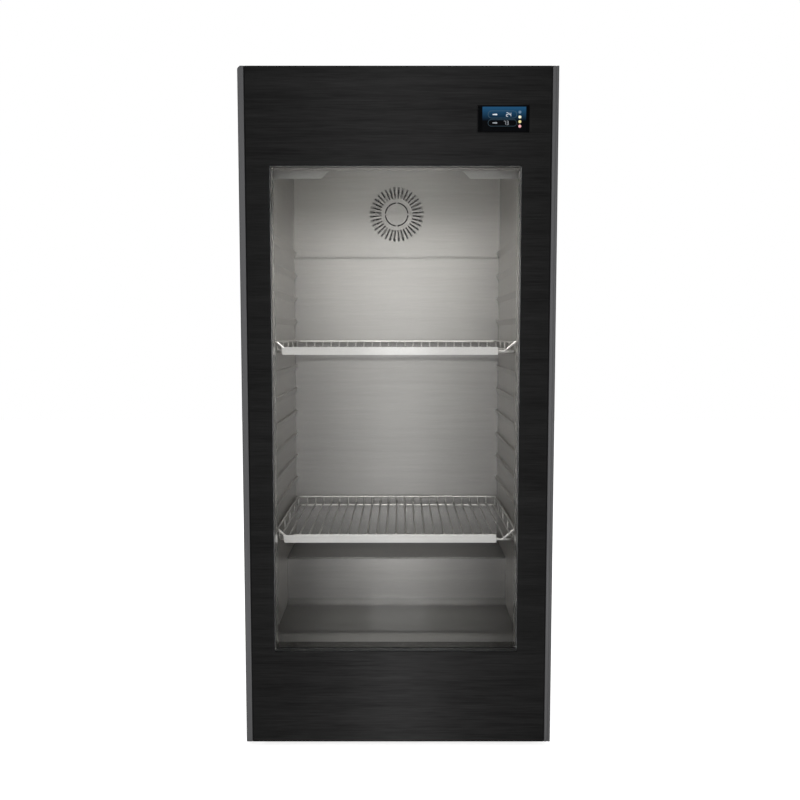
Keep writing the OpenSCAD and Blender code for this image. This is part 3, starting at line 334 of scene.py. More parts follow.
def add_node(tree, kind, settings=None, **inputs):
    """Node of a kind with its settings, and with each input set to a value or linked to a socket."""
    made = tree.nodes.new(kind)
    for key, value in (settings or {}).items():
        setattr(made, key, value)
    set_inputs(made, **inputs)
    return made


def math_on(tree, operation, *values):
    """Result of an operation on values or sockets."""
    made = add_node(tree, "ShaderNodeMath", {"operation": operation})
    for socket, value in zip(made.inputs, values):
        feed(socket, value)
    return made.outputs[0]


def noise_on(tree, size, detail=3.0):
    """Noise on Object coordinates, with features of one size in metres or of one for each axis."""
    place = add_node(tree, "ShaderNodeTexCoord").outputs["Object"]
    scale = [1 / length for length in np.broadcast_to(size, 3)]
    mapped = add_node(tree, "ShaderNodeMapping", Vector=place, Scale=scale).outputs["Vector"]
    return add_node(tree, "ShaderNodeTexNoise", Vector=mapped, Scale=1.0, Detail=detail).outputs["Fac"]


def shaded(tree, factor, dark, light, low=0.3, high=0.7):
    """Colour between two hex codes as a factor goes from low to high."""
    ramp = add_node(tree, "ShaderNodeValToRGB", Fac=factor)
    first, last = ramp.color_ramp.elements
    first.position, first.color = low, hex_rgba(dark)
    last.position, last.color = high, hex_rgba(light)
    return ramp.outputs["Color"]


def ranged(tree, factor, low, high):
    """Factor moved from 0..1 to low..high."""
    return add_node(tree, "ShaderNodeMapRange", Value=factor, To_Min=low, To_Max=high).outputs["Result"]


def bump(tree, shader, height, depth, strength):
    """Relief of a real depth in metres on the shader's normal."""
    made = add_node(tree, "ShaderNodeBump", Height=height, Distance=depth, Strength=strength)
    set_inputs(shader, Normal=made.outputs["Normal"])


def tinted(code, factor):
    """Hex code made lighter or darker by a factor."""
    values = [min(255, round(int(code[i:i + 2], 16) * factor)) for i in (1, 3, 5)]
    return "#" + "".join(f"{v:02X}" for v in values)


def shade_level_faces(tree, tint, level_shade):
    """Colour with painted shade on level faces, which keep only a share of it, with a soft change where
    they bend upright.
    """
    level_from = 0.4
    normal = add_node(tree, "ShaderNodeNewGeometry").outputs["Normal"]
    upward = add_node(tree, "ShaderNodeSeparateXYZ", Vector=normal).outputs["Z"]
    level = add_node(tree, "ShaderNodeMapRange", {"interpolation_type": "SMOOTHSTEP"},
                     Value=upward, From_Max=level_from)
    mix = add_node(tree, "ShaderNodeMixRGB", {"blend_type": "MULTIPLY"},
                   Fac=level.outputs["Result"], Color1=tint, Color2=(level_shade, level_shade, level_shade, 1.0))
    return mix.outputs["Color"]


def brushed(name, colour, line, run, axis, roughness, contrast, depth, spread=0.0, level_shade=1.0):
    """Brushed metal: long scratches along one axis, with a line width and a run in metres.

    Fine lines spread a highlight across the grain, and slow bands along it keep a sheet from looking
    flat. Level faces keep only a share of the colour: painted shade on faces that look up.
    """
    line_share, lines_in_band = 0.6, 9
    material, tree, shader = new_material(name)
    size = np.full(3, line)
    size[axis] = run
    lines = noise_on(tree, size, 4.0)
    bands = ranged(tree, noise_on(tree, lines_in_band * size, 2.0), 0.0, 1 - line_share)
    grain = math_on(tree, "MULTIPLY_ADD", lines, line_share, bands)
    tint = shaded(tree, grain, tinted(colour, 1 - contrast), tinted(colour, 1 + contrast))
    # Painted shade on faces that look up
    if level_shade < 1.0:
        tint = shade_level_faces(tree, tint, level_shade)
    gloss = ranged(tree, grain, roughness - 0.06, roughness + 0.08)
    # The tangent runs round the scratches' axis, so the highlight spreads across them on every side
    across = add_node(tree, "ShaderNodeTangent", {"direction_type": "RADIAL", "axis": "XYZ"[axis]})
    set_inputs(shader, Base_Color=tint, Roughness=gloss, Metallic=1.0, Anisotropic=spread,
               Tangent=across.outputs["Tangent"])
    bump(tree, shader, lines, depth, 0.5)
    return material


def black_brushed_steel():
    """Black coated steel, brushed along the width: level streaks that catch a soft vertical sheen."""
    material = brushed("black_brushed_steel", colours().black_steel, line=1.8 * MM, run=50 * MM, axis=X,
                       roughness=0.55, contrast=0.3, depth=0.02 * MM, spread=0.9)
    # The coat keeps the folded edges dark where bare metal would turn bright at a flat angle
    set_inputs(material.node_tree.nodes["Principled BSDF"], Specular_Tint=hex_rgba("#404040"))
    return material


def brushed_stainless():
    """Stainless sheet brushed along the width, a warm grey that blurs what it mirrors."""
    return brushed("brushed_stainless", colours().stainless, line=1.2 * MM, run=70 * MM, axis=X,
                   roughness=0.48, contrast=0.05, depth=0.01 * MM, spread=0.7)


def side_stainless():
    """The same sheet on the side walls, brushed along their depth, in a lighter copy of its colour that
    paints on light.
    """
    return brushed("side_brushed_stainless", tinted(colours().stainless, 1.45), line=1.2 * MM,
                   run=70 * MM, axis=Y, roughness=0.42, contrast=0.05, depth=0.01 * MM, spread=0.8)


def floor_stainless():
    """The same sheet on the inner floor in a darker copy of its colour, which paints shade, with more
    painted shade where it lies level.
    """
    return brushed("floor_brushed_stainless", tinted(colours().stainless, 0.95), line=1.4 * MM,
                   run=50 * MM, axis=X, roughness=0.43, contrast=0.05, depth=0.01 * MM, spread=0.9,
                   level_shade=0.5)


def satin_valance_steel():
    """Satin sheet of the light valance."""
    return brushed("satin_valance_steel", "#9E9D9A", line=1.2 * MM, run=70 * MM, axis=X,
                   roughness=0.55, contrast=0.04, depth=0.01 * MM, spread=0.8)


def satin_door_steel():
    """Satin sheet round the window inside the door: it mirrors the inner space, and its level sill
    carries painted shade.
    """
    return brushed("satin_door_steel", "#A5A4A2", line=1.2 * MM, run=70 * MM, axis=X,
                   roughness=0.24, contrast=0.04, depth=0.004 * MM, level_shade=0.3)


def anodised_aluminium():
    """Extruded aluminium, anodised grey: fine draw lines along its length."""
    return brushed("anodised_aluminium", colours().edge_grey, line=0.8 * MM, run=120 * MM, axis=Z,
                   roughness=0.42, contrast=0.06, depth=0.01 * MM, spread=0.6)


def mill_aluminium():
    """Rolled aluminium as it leaves the mill, bright with a faint grain."""
    return brushed("mill_aluminium", "#B9BBBD", line=1.0 * MM, run=25 * MM, axis=X,
                   roughness=0.34, contrast=0.08, depth=0.01 * MM)


def spacer_aluminium():
    """Rolled aluminium of the spacer between the panes, with painted shade where it lies level."""
    return brushed("spacer_aluminium", "#868789", line=1.0 * MM, run=25 * MM, axis=X,
                   roughness=0.34, contrast=0.08, depth=0.01 * MM, level_shade=0.35)


def zinc_plated_steel():
    """Zinc plate on pressed steel: pale grey with a faint cloud."""
    return brushed("zinc_plated_steel", "#B4B6B8", line=6 * MM, run=9 * MM, axis=Y,
                   roughness=0.36, contrast=0.10, depth=0.01 * MM)


def drawn_copper():
    """Copper tube, dulled a little by handling."""
    return brushed("drawn_copper", "#B8764A", line=3 * MM, run=14 * MM, axis=Z,
                   roughness=0.34, contrast=0.14, depth=0.01 * MM)


def plated_wire():
    """Nickel-plated steel wire: pale and satin, with faint swirls left by the bath."""
    return brushed("nickel_plated_wire", "#A6A5A2", line=2 * MM, run=8 * MM, axis=Y,
                   roughness=0.46, contrast=0.08, depth=0.004 * MM)


def grained(name, colour, grain, depth, roughness, contrast=0.12):
    """Moulded or painted surface: a fine grain of one size in metres, and slow patches of tone."""
    grains_in_patch = 60
    material, tree, shader = new_material(name)
    fine = noise_on(tree, grain, 2.0)
    slow = noise_on(tree, grains_in_patch * grain, 2.0)
    tint = shaded(tree, slow, tinted(colour, 1 - contrast), tinted(colour, 1 + contrast))
    set_inputs(shader, Base_Color=tint, Roughness=ranged(tree, slow, roughness - 0.05, roughness + 0.05))
    bump(tree, shader, fine, depth, 0.5)
    return material, shader


def coated_grey_steel():
    """Coil-coated sheet: satin grey paint with a faint orange peel, drawn at 2 mm so that it shows."""
    material, shader = grained("coated_grey_steel", colours().body_grey, grain=2 * MM, depth=0.04 * MM,
                               roughness=0.42, contrast=0.04)
    set_inputs(shader, Metallic=0.3)
    return material


def white_gloss_paint():
    """White gloss paint on the shelves' front bars, smooth and slightly wavy."""
    material, shader = grained("white_gloss_paint", "#D6D5D2", grain=4 * MM, depth=0.03 * MM,
                               roughness=0.25, contrast=0.02)
    set_inputs(shader, Coat_Weight=0.4, Coat_Roughness=0.1)
    return material


def black_enamel():
    """Baked enamel on the compressor: glossy black with an orange peel."""
    return grained("black_enamel", "#17171A", grain=3 * MM, depth=0.08 * MM, roughness=0.28)[0]


def moulded_black_plastic():
    """ABS with a spark-eroded grain, drawn at 0.9 mm so that it shows."""
    return grained("moulded_black_plastic", "#1D1D20", grain=0.9 * MM, depth=0.05 * MM, roughness=0.48)[0]


def matt_black_seal():
    """Extruded rubber in the joints beside the front plate: black, with hardly any gloss."""
    material, shader = grained("matt_black_seal", "#0B0B0C", grain=1.5 * MM, depth=0.04 * MM,
                               roughness=0.7)
    set_inputs(shader, Specular_IOR_Level=0.1)
    return material


def smoked_bezel():
    """Black acrylic round the display, printed from behind, so it stays near black in any light."""
    material, shader = grained("smoked_bezel", PRINT_BLACK, grain=6 * MM, depth=0.01 * MM, roughness=0.3)
    set_inputs(shader, Specular_IOR_Level=PRINT_GLOSS)
    return material


def moulded_fan_plastic():
    """Glass-filled nylon of the fans: dark grey, matt."""
    return grained("moulded_fan_plastic", "#26262A", grain=1.2 * MM, depth=0.05 * MM, roughness=0.52)[0]


def grey_seal_rubber():
    """Extruded PVC seal, dark grey and matt."""
    return grained("grey_seal_rubber", "#3A3B3E", grain=1.5 * MM, depth=0.04 * MM, roughness=0.58)[0]


def black_foot_rubber():
    """Moulded rubber of feet, mounts and drain."""
    return grained("black_foot_rubber", "#222224", grain=1.0 * MM, depth=0.06 * MM, roughness=0.66)[0]


def natural_nylon():
    """Turned nylon of the hinge bushes: waxy off-white."""
    return grained("natural_nylon", "#E2DFD3", grain=1.5 * MM, depth=0.02 * MM, roughness=0.45)[0]


def rigid_foam():
    """Poured polyurethane foam: pale yellow with fine pores."""
    return grained("rigid_foam", "#E3D6A8", grain=1.4 * MM, depth=0.3 * MM, roughness=0.85)[0]


def galvanised_sheet():
    """Hot-dipped zinc: flat crystals of about 14 mm, each with its own tone and gloss."""
    material, tree, shader = new_material("galvanised_sheet")
    crystal = 14 * MM
    place = add_node(tree, "ShaderNodeTexCoord").outputs["Object"]
    cells = add_node(tree, "ShaderNodeTexVoronoi", Vector=place, Scale=1 / crystal).outputs["Color"]
    tone = add_node(tree, "ShaderNodeSeparateColor", Color=cells).outputs["Red"]
    set_inputs(shader, Base_Color=shaded(tree, tone, "#999C9E", "#A9ACAE", 0.0, 1.0), Metallic=1.0,
               Roughness=ranged(tree, tone, 0.42, 0.5))
    bump(tree, shader, tone, 0.02 * MM, 0.4)
    return material


def clear_glass():
    """Coated float glass of the double pane: clear, a trace of green, with hardly a reflection."""
    material, tree, shader = new_material("clear_float_glass")
    wave = 180 * MM
    set_inputs(shader, Base_Color=hex_rgba("#0A0B0A"), Roughness=0.12, IOR=1.3, Alpha=0.05,
               Specular_IOR_Level=0.3)
    bump(tree, shader, noise_on(tree, wave, 1.0), 0.02 * MM, 0.1)
    return material


def opal_lamp():
    """Opal acrylic over the light bar, lit from behind with a faint mottle."""
    material, tree, shader = new_material("opal_acrylic_lamp")
    mottle = noise_on(tree, 16 * MM, 1.0)
    glow = shaded(tree, mottle, tinted(colours().lamp, 0.96), colours().lamp)
    set_inputs(shader, Base_Color=glow, Emission_Color=glow, Roughness=0.35, Emission_Strength=2.0)
    return material


def gloss_display():
    """Hard-coated black acrylic in front of the display, with a trace of handling."""
    material, tree, shader = new_material("gloss_black_acrylic")
    smear = noise_on(tree, 22 * MM, 3.0)
    set_inputs(shader, Base_Color=shaded(tree, smear, PRINT_BLACK, "#040506"),
               Roughness=ranged(tree, smear, 0.06, 0.14), Specular_IOR_Level=PRINT_GLOSS)
    return material


def lit_print(name, colour, strength):
    """Lit print behind the display's lens, with an even glow and a soft mottle."""
    material, tree, shader = new_material(name)
    mottle = noise_on(tree, 2 * MM, 1.0)
    glow = shaded(tree, mottle, tinted(colour, 0.9), colour)
    set_inputs(shader, Base_Color=hex_rgba(PRINT_BLACK), Roughness=0.3, Specular_IOR_Level=PRINT_GLOSS,
               Emission_Color=glow, Emission_Strength=strength)
    return material


def screen_glow():
    """Backlight of the display: blue at its top edge, fading to black half of the way down."""
    material, tree, shader = new_material("display_backlight")
    uv = add_node(tree, "ShaderNodeUVMap", {"uv_map": "surface"}).outputs["UV"]
    height = add_node(tree, "ShaderNodeSeparateXYZ", Vector=uv).outputs["Y"]
    glow = shaded(tree, height, "#020304", colours().screen_blue, 0.42, 0.95)
    set_inputs(shader, Base_Color=hex_rgba(PRINT_BLACK), Roughness=0.2, Specular_IOR_Level=PRINT_GLOSS,
               Emission_Color=glow, Emission_Strength=1.0)
    return material


def dress(material, *nodes):
    """Give CAD nodes a finish through their material slots."""
    for name in nodes:
        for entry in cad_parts[name].material_slots:
            entry.material = material


# Pieces

class CABINET_OT_outer_shell(bpy.types.Operator):
    """Finish the outer sheets of the cabinet"""

    bl_idname = "cabinet.outer_shell"
    bl_label = "Outer shell"

    def execute(self, context):
        dress(coated_grey_steel(), "left_side_panel", "right_side_panel", "top_panel", "front_frame")
        dress(galvanised_sheet(), "back_panel", "base_pan", "compressor_deck", "machine_cover")
        dress(rigid_foam(), "cabinet_foam", "door_foam")
        return {"FINISHED"}


def capsule(start, end, start_radius, end_radius, steps=24):
    """Outline of a bar with round ends, as points in its plane.

    At angle t it is the end's centre plus the end's radius times (cos t, sin t) while that points
    along the bar, and the start's centre plus the start's radius times the same elsewhere.
    """
    start, end = np.array(start, float), np.array(end, float)
    along = end - start
    length = np.linalg.norm(along)
    turn = math.atan2(along[1], along[0]) if length else 0.0
    angle = (np.arange(steps) + 0.5) * 2 * np.pi / steps
    ahead = (np.cos(angle) > 0)[:, None]
    way = np.stack([np.cos(angle + turn), np.sin(angle + turn)], -1)
    return np.where(ahead, end + end_radius * way, start + start_radius * way)


def standing(points, y):
    """Points (x, z) of a flat outline, put at one value of y."""
    return np.stack([points[:, 0], np.full(len(points), y), points[:, 1]], -1)


class CABINET_OT_inner_space(bpy.types.Operator):
    """Finish the stainless inner space and roll the edges of the fan grille's slots"""

    bl_idname = "cabinet.inner_space"
    bl_label = "Inner space"

    # How far the seam's lip reaches over each cover's edge, and how far it lies behind their fronts
    lip_overlap = 0.9 * MM
    lip_front, lip_back = 0.4 * MM, 1.2 * MM

    def execute(self, context):
        steel = brushed_stainless()
        dress(steel, "rear_liner", "evaporator_cover", "duct_cover")
        dress(satin_valance_steel(), "light_valance")
        dress(floor_stainless(), "ceiling_liner", "floor_liner")
        dress(side_stainless(), "left_liner_wall", "right_liner_wall", "left_shelf_runners",
              "right_shelf_runners")
        self.add_slot_beads(steel)
        self.add_seam_lip(steel)
        return {"FINISHED"}

    def add_slot_beads(self, steel):
        """Rolled edge round each slot of the grille, whose middle is the fan's."""
        size = sizes()
        low, high = span("evaporator_fan_frame")
        centre = (low + high)[[X, Z]] / 2
        inner = size.slot_inner_radius + size.slot_inner_width / 2
        outer = size.slot_outer_radius - size.slot_outer_width / 2
        face = span("evaporator_cover")[0][Y]
        beads = []
        for angle in (np.arange(size.slot_count) + 0.5) * 2 * np.pi / size.slot_count:
            way = np.array([math.cos(angle), math.sin(angle)])
            edge = capsule(centre + inner * way, centre + outer * way,
                           size.slot_inner_width / 2, size.slot_outer_width / 2)
            beads.append(tube(standing(edge, face), size.bead_radius, 6))
        add_piece("grille_slot_beads", joined(beads), "cabinet", steel)

    def add_seam_lip(self, steel):
        """Folded lip of the lower rear cover, which stands behind the seam and lies along the width."""
        upper, lower = span("evaporator_cover"), span("duct_cover")
        z = [lower[1][Z] - self.lip_overlap, upper[0][Z] + self.lip_overlap]
        y = [lower[0][Y] + self.lip_front, lower[0][Y] + self.lip_back]
        points, faces = rounded_strip(z, y, [lower[0][X], lower[1][X]])
        add_piece("rear_seam_lip", (points[:, [Z, Y, X]], faces), "cabinet", steel)


def area_light(name, place, turn, width, height, power):
    """Rectangular soft light."""
    light = bpy.data.lights.new(name, "AREA")
    light.shape = "RECTANGLE"
    light.size, light.size_y, light.energy = width, height, power
    holder = bpy.data.objects.new(name, light)
    holder.location = place
    holder.rotation_euler = turn
    bpy.context.scene.collection.objects.link(holder)
    return light


class CABINET_OT_lighting(bpy.types.Operator):
    """Finish the light bar and switch its lamp on"""

    bl_idname = "cabinet.lighting"
    bl_label = "Light bar"

    # Gap that keeps the lamp clear of the diffuser's underside
    lamp_drop = 3 * MM

    def execute(self, context):
        dress(mill_aluminium(), "light_bar")
        dress(opal_lamp(), "light_diffuser")
        size = sizes()
        low, high = span("light_diffuser")
        place = ((low[X] + high[X]) / 2, low[Y] + size.lamp_depth / 2, low[Z] - self.lamp_drop)
        lamp = area_light("light_bar_lamp", place, (-size.lamp_tilt, 0, 0),
                          size.lamp_reach, size.lamp_depth, size.lamp_power)
        lamp.spread = size.lamp_spread
        lamp.color = hex_rgba(colours().lamp)[:3]
        return {"FINISHED"}


class CABINET_OT_door_panels(bpy.types.Operator):
    """Finish the door's outer pieces and lay the black seals beside its front plate"""

    bl_idname = "cabinet.door_panels"
    bl_label = "Door panels"

    # How far the seals' fronts and backs lie behind the front plate
    seal_front, seal_back = 0.5 * MM, 2 * MM

    def execute(self, context):
        dress(black_brushed_steel(), "door_front_plate")
        dress(anodised_aluminium(), "left_edge_profile", "right_grip_profile")
        dress(moulded_black_plastic(), "door_top_cap", "door_bottom_cap")
        dress(satin_door_steel(), "inner_door_frame")
        profile_edge = span("left_edge_profile")[1]
        plate_gap = PLATE_LOW[X] - profile_edge[X]
        joints = [(profile_edge[X], PLATE_LOW[X]), (PLATE_HIGH[X], PLATE_HIGH[X] + plate_gap)]
        depth = (FRONT_Y + self.seal_front, FRONT_Y + self.seal_back)
        rise = (PLATE_LOW[Z], profile_edge[Z])
        strips = [rounded_strip(x, depth, rise) for x in joints]
        add_piece("plate_side_seals", joined(strips), "door", matt_black_seal())
        return {"FINISHED"}


class CABINET_OT_glazing(bpy.types.Operator):
    """Finish the two panes and the spacer between them"""

    bl_idname = "cabinet.glazing"
    bl_label = "Glazing"

    def execute(self, context):
        dress(clear_glass(), "outer_pane", "inner_pane")
        dress(spacer_aluminium(), "glazing_spacer")
        return {"FINISHED"}


class CABINET_OT_gasket(bpy.types.Operator):
    """Magnetic seal with its bellows, carried round the back of the door"""

    bl_idname = "cabinet.gasket"
    bl_label = "Door seal"

    # Share of the half width that a fold draws in, and the shares of the depth where the bellows start
    # and over which they run
    fold, bellows_start, bellows_run = 0.45, 0.2, 0.55

    def execute(self, context):
        low, high = span("door_gasket")
        centre = (low + high) / 2
        depth = high[Y] - low[Y]
        half = sizes().seal_width / 2
        # Over the share s of the bellows the half width draws in twice: half (1 - fold sin^2(2 pi s))
        along = np.linspace(0, 1, 33)
        share = np.clip((along - self.bellows_start) / self.bellows_run, 0, 1)
        width = half * (1 - self.fold * np.sin(2 * np.pi * share) ** 2)
        section = np.concatenate([
            np.stack([width, along * depth], -1),
            np.stack([-width, along * depth], -1)[::-1],
        ])
        ring = mitred_frame((centre[X], low[Y], centre[Z]), (high[X] - low[X]) / 2 - half,
                            (high[Z] - low[Z]) / 2 - half, section)
        seal = add_piece("door_seal", ring, "door", grey_seal_rubber())
        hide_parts("door_gasket")
        return {"FINISHED"}


# Strokes of a number: corners of a grid two wide and three high, by the usual letters of its seven bars
BARS = {
    "a": ((0, 2), (1, 2)), "b": ((1, 1), (1, 2)), "c": ((1, 0), (1, 1)), "d": ((0, 0), (1, 0)),
    "e": ((0, 0), (0, 1)), "f": ((0, 1), (0, 2)), "g": ((0, 1), (1, 1)),
}
NUMBERS = {"2": "abged", "3": "abgcd", "4": "fgbc", "7": "abc"}


def number_bars(text, place, height):
    """Bars of a row of numbers from its left end, as flat six-sided strokes.

    A stroke from p to q has its points at p, at q and, half a stroke in from each, half a stroke to
    both sides.
    """
    half_stroke, pitch = 0.07 * height, 0.78 * height
    cell = np.array([height / 2, height / 2])
    starts, ends = [], []
    for i, number in enumerate(text):
        corner = np.array(place) + [pitch * i, -height / 2]
        for bar in NUMBERS[number]:
            starts.append(corner + cell * BARS[bar][0])
            ends.append(corner + cell * BARS[bar][1])
    p, q = np.array(starts), np.array(ends)
    along = (q - p) / np.linalg.norm(q - p, axis=1, keepdims=True) * half_stroke
    side = np.stack([-along[:, 1], along[:, 0]], -1)
    points = np.stack([p, p + along - side, q - along - side, q, q - along + side, p + along + side], 1)
    return points.reshape(-1, 2), np.arange(6 * len(p)).reshape(-1, 6)


def flat_ring(outline, inner_outline, y):
    """Flat band between two outlines with as many points each."""
    points = np.concatenate([standing(outline, y), standing(inner_outline, y)])
    return points, grid_quads(2, len(outline), wrap_cols=True)


def flat_shape(outline, y):
    """Flat face inside one outline."""
    return standing(outline, y), np.arange(len(outline))[None]


class CABINET_OT_display(bpy.types.Operator):
    """Finish the display and add its backlight, two read-outs with numbers and four status lights"""

    bl_idname = "cabinet.display"
    bl_label = "Display"

    layer = 0.12 * MM
    # Left and right end of the lit screen, from the middle of the lens
    screen = (-39 * MM, 42 * MM)
    # Numbers of a read-out, the height of its middle, half its height, its numbers' left end, and the
    # strengths of its numbers and of its outline
    read_outs = (
        ("24", 8.1 * MM, 6.8 * MM, 5.2 * MM, 1.0, 0.8),
        ("73", -7.1 * MM, 6.2 * MM, 0.6 * MM, 0.45, 0.525),
    )
    number_colour, outline_colour = "#E6EEF6", "#56707F"
    outline = 0.6 * MM
    read_out_reach = 26.9 * MM
    read_out_shift = -2 * MM
    # Ends of the mark in front of the numbers, and its radius at each
    mark_x = (-19.5 * MM, -13 * MM)
    mark_radii = (0.9 * MM, 1.5 * MM)
    lights_x = 30.4 * MM
    # Colour, height and strength of each status light
    lights = (("#7E9DB8", 12.4 * MM, 0.7), ("#FFF8D6", 3.6 * MM, 1.1), ("#F6E7A0", -4.8 * MM, 1.0),
              ("#FFB9BC", -13.1 * MM, 1.0))
    light_radius = 2.7 * MM

    def execute(self, context):
        dress(smoked_bezel(), "display_housing")
        dress(gloss_display(), "display_lens")
        self.add_backlight()
        self.add_read_outs()
        self.add_status_lights()
        return {"FINISHED"}

    def place(self, across, up):
        """Point of the display's plane, from the middle of the lens."""
        return ((LENS_LOW + LENS_HIGH) / 2)[[X, Z]] + np.array([across, up])

    def front(self, layers):
        """Depth at which a print lies, a number of layers in front of the lens."""
        return LENS_LOW[Y] - layers * self.layer

    def add_backlight(self):
        """Sheet over the lens, with its height as the UV map's second value."""
        rows, cols = 9, 3
        up, across = np.meshgrid(np.linspace(0, 1, rows), np.linspace(0, 1, cols), indexing="ij")
        points = np.empty((rows, cols, 3))
        points[..., X] = self.place(self.screen[0], 0)[0] + across * (self.screen[1] - self.screen[0])
        points[..., Y] = self.front(1)
        points[..., Z] = LENS_LOW[Z] + up * (LENS_HIGH - LENS_LOW)[Z]
        uv = np.stack([across, up], -1).reshape(-1, 2)
        sheet = points.reshape(-1, 3), grid_quads(rows, cols)
        add_piece("display_backlight", sheet, "door", screen_glow(), flat=True, uv=uv)

    def add_read_outs(self):
        """Outline, numbers and a mark of each read-out; the lower one is dimmer."""
        y = self.front(2)
        for number, (text, up, half, start, strength, line_strength) in enumerate(self.read_outs):
            run = self.read_out_reach - half
            ends = [self.place(self.read_out_shift + side * run, up) for side in (-1, 1)]
            inner = half - self.outline
            band = flat_ring(capsule(*ends, half, half), capsule(*ends, inner, inner), y)
            line = lit_print(f"read_out_line_{number}", self.outline_colour, line_strength)
            add_piece(f"read_out_line_{number}", band, "door", line, flat=True)
            points, faces = number_bars(text, self.place(start, up), sizes().digit_height)
            bars = standing(points, y), faces
            lit = lit_print(f"read_out_number_{number}", self.number_colour, strength)
            add_piece(f"read_out_number_{number}", bars, "door", lit, flat=True)
            mark = flat_shape(capsule(*[self.place(x, up) for x in self.mark_x], *self.mark_radii), y)
            add_piece(f"read_out_mark_{number}", mark, "door", lit, flat=True)

    def add_status_lights(self):
        """Round dots down the display's right side."""
        for number, (colour, up, strength) in enumerate(self.lights, 1):
            spot = self.place(self.lights_x, up)
            disc = flat_shape(capsule(spot, spot, self.light_radius, self.light_radius), self.front(2))
            material = lit_print(f"status_light_{number}", colour, strength)
            add_piece(f"status_light_{number}", disc, "door", material, flat=True)


class CABINET_OT_shelves(bpy.types.Operator):
    """Finish the two wire shelves and their front bars"""

    bl_idname = "cabinet.shelves"
    bl_label = "Shelves"

    def execute(self, context):
        dress(plated_wire(), "upper_wire_shelf", "lower_wire_shelf")
        dress(white_gloss_paint(), "upper_shelf_bar", "lower_shelf_bar")
        return {"FINISHED"}


class CABINET_OT_machine_space(bpy.types.Operator):
    """Finish the cooling machine, its fans and its pipes"""

    bl_idname = "cabinet.machine_space"
    bl_label = "Machine space"

    def execute(self, context):
        dress(black_enamel(), "compressor")
        dress(black_foot_rubber(), "compressor_mounts", "drain_tube", "feet")
        dress(mill_aluminium(), "evaporator_coil", "condenser_coil", "evaporator_fan_motor",
              "condenser_fan_motor")
        dress(moulded_fan_plastic(), "evaporator_fan_frame", "evaporator_fan_rotor",
              "condenser_fan_frame", "condenser_fan_rotor")
        dress(drawn_copper(), "refrigerant_lines")
        dress(moulded_black_plastic(), "evaporation_tray", "power_inlet", "rear_spacers")
        return {"FINISHED"}


def screw_head(base, out, radius, height, steps=32, rings=12):
    """Domed head with a cross recess on a base point, its axis along the unit vector out.

    Over radius r and angle t the head stands height (1 - dome (r / radius)^2), less the recess: its
    depth fades with the distance from the nearer of the cross's two arms. The disc under it closes it.
    """
    dome, recess_share, cross_reach = 0.7, 0.6, 0.66
    flank, arm_edge, end_slope = 0.1 * radius, 1.6, 4
    out = np.array(out, float)
    side = np.roll(out, 1)
    other = np.cross(out, side)
    share = np.concatenate([np.linspace(0, 1, rings), np.linspace(1, 0, 3)])
    angle = np.linspace(0, 2 * np.pi, steps, endpoint=False)
    r, t = np.meshgrid(share * radius, angle, indexing="ij")
    u, v = r * np.cos(t), r * np.sin(t)
    arm = np.clip(arm_edge - np.minimum(np.abs(u), np.abs(v)) / flank, 0, 1)
    recess = recess_share * height * arm * np.clip(end_slope * (cross_reach - r / radius), 0, 1)
    rise = height * (1 - dome * (r / radius) ** 2) - recess
    rise[rings:] = 0
    points = np.array(base) + u[..., None] * side + v[..., None] * other + rise[..., None] * out
    return points.reshape(-1, 3), grid_quads(rings + 3, steps, wrap_cols=True)


class CABINET_OT_fasteners(bpy.types.Operator):
    """Domed cross-head screws on the back and on the hinge plates"""

    bl_idname = "cabinet.fasteners"
    bl_label = "Fasteners"

    def execute(self, context):
        zinc = zinc_plated_steel()
        radius = sizes().screw_radius
        low, high = span("cover_screws")
        height = high[Y] - low[Y]
        seam = span("back_panel")[0][Z]
        inset = span("back_panel")[1][Z] - high[Z] + radius
        rows = [low[Z] + radius, seam - inset, seam + inset, high[Z] - radius]
        heads = [screw_head((x, low[Y], z), (0, 1, 0), radius, height)
                 for x in (low[X] + radius, high[X] - radius) for z in rows]
        cover_heads = add_piece("cover_screw_heads", joined(heads), "cabinet", zinc)
        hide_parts("cover_screws")
        low, high = span("hinge_screws")
        step = span("bottom_hinge_bracket")[1][Y] - span("top_hinge_bracket")[1][Y]
        near, far = low[Y] + radius, high[Y] - radius
        across = (low[X] + high[X]) / 2
        heads = [screw_head((across, y, high[Z] - height), (0, 0, 1), radius, height)
                 for y in (near, far - step)]
        heads += [screw_head((across, y, low[Z] + height), (0, 0, -1), radius, height)
                  for y in (near + step, far)]
        hinge_heads = add_piece("hinge_screw_heads", joined(heads), "cabinet", zinc)
        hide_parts("hinge_screws")
        return {"FINISHED"}


class CABINET_OT_hinges(bpy.types.Operator):
    """Finish the hinge plates and their bushes"""

    bl_idname = "cabinet.hinges"
    bl_label = "Hinges"

    def execute(self, context):
        dress(zinc_plated_steel(), "top_hinge_bracket", "bottom_hinge_bracket")
        dress(natural_nylon(), "hinge_bushes")
        return {"FINISHED"}


# Studio

def seen_directly(tree):
    """1 on rays from the camera and on those that metal or glass sends on, 0 on the rest."""
    rays = add_node(tree, "ShaderNodeLightPath").outputs
    mirrored = math_on(tree, "MAXIMUM", rays["Is Camera Ray"], rays["Is Glossy Ray"])
    return math_on(tree, "MAXIMUM", mirrored, rays["Is Transmission Ray"])


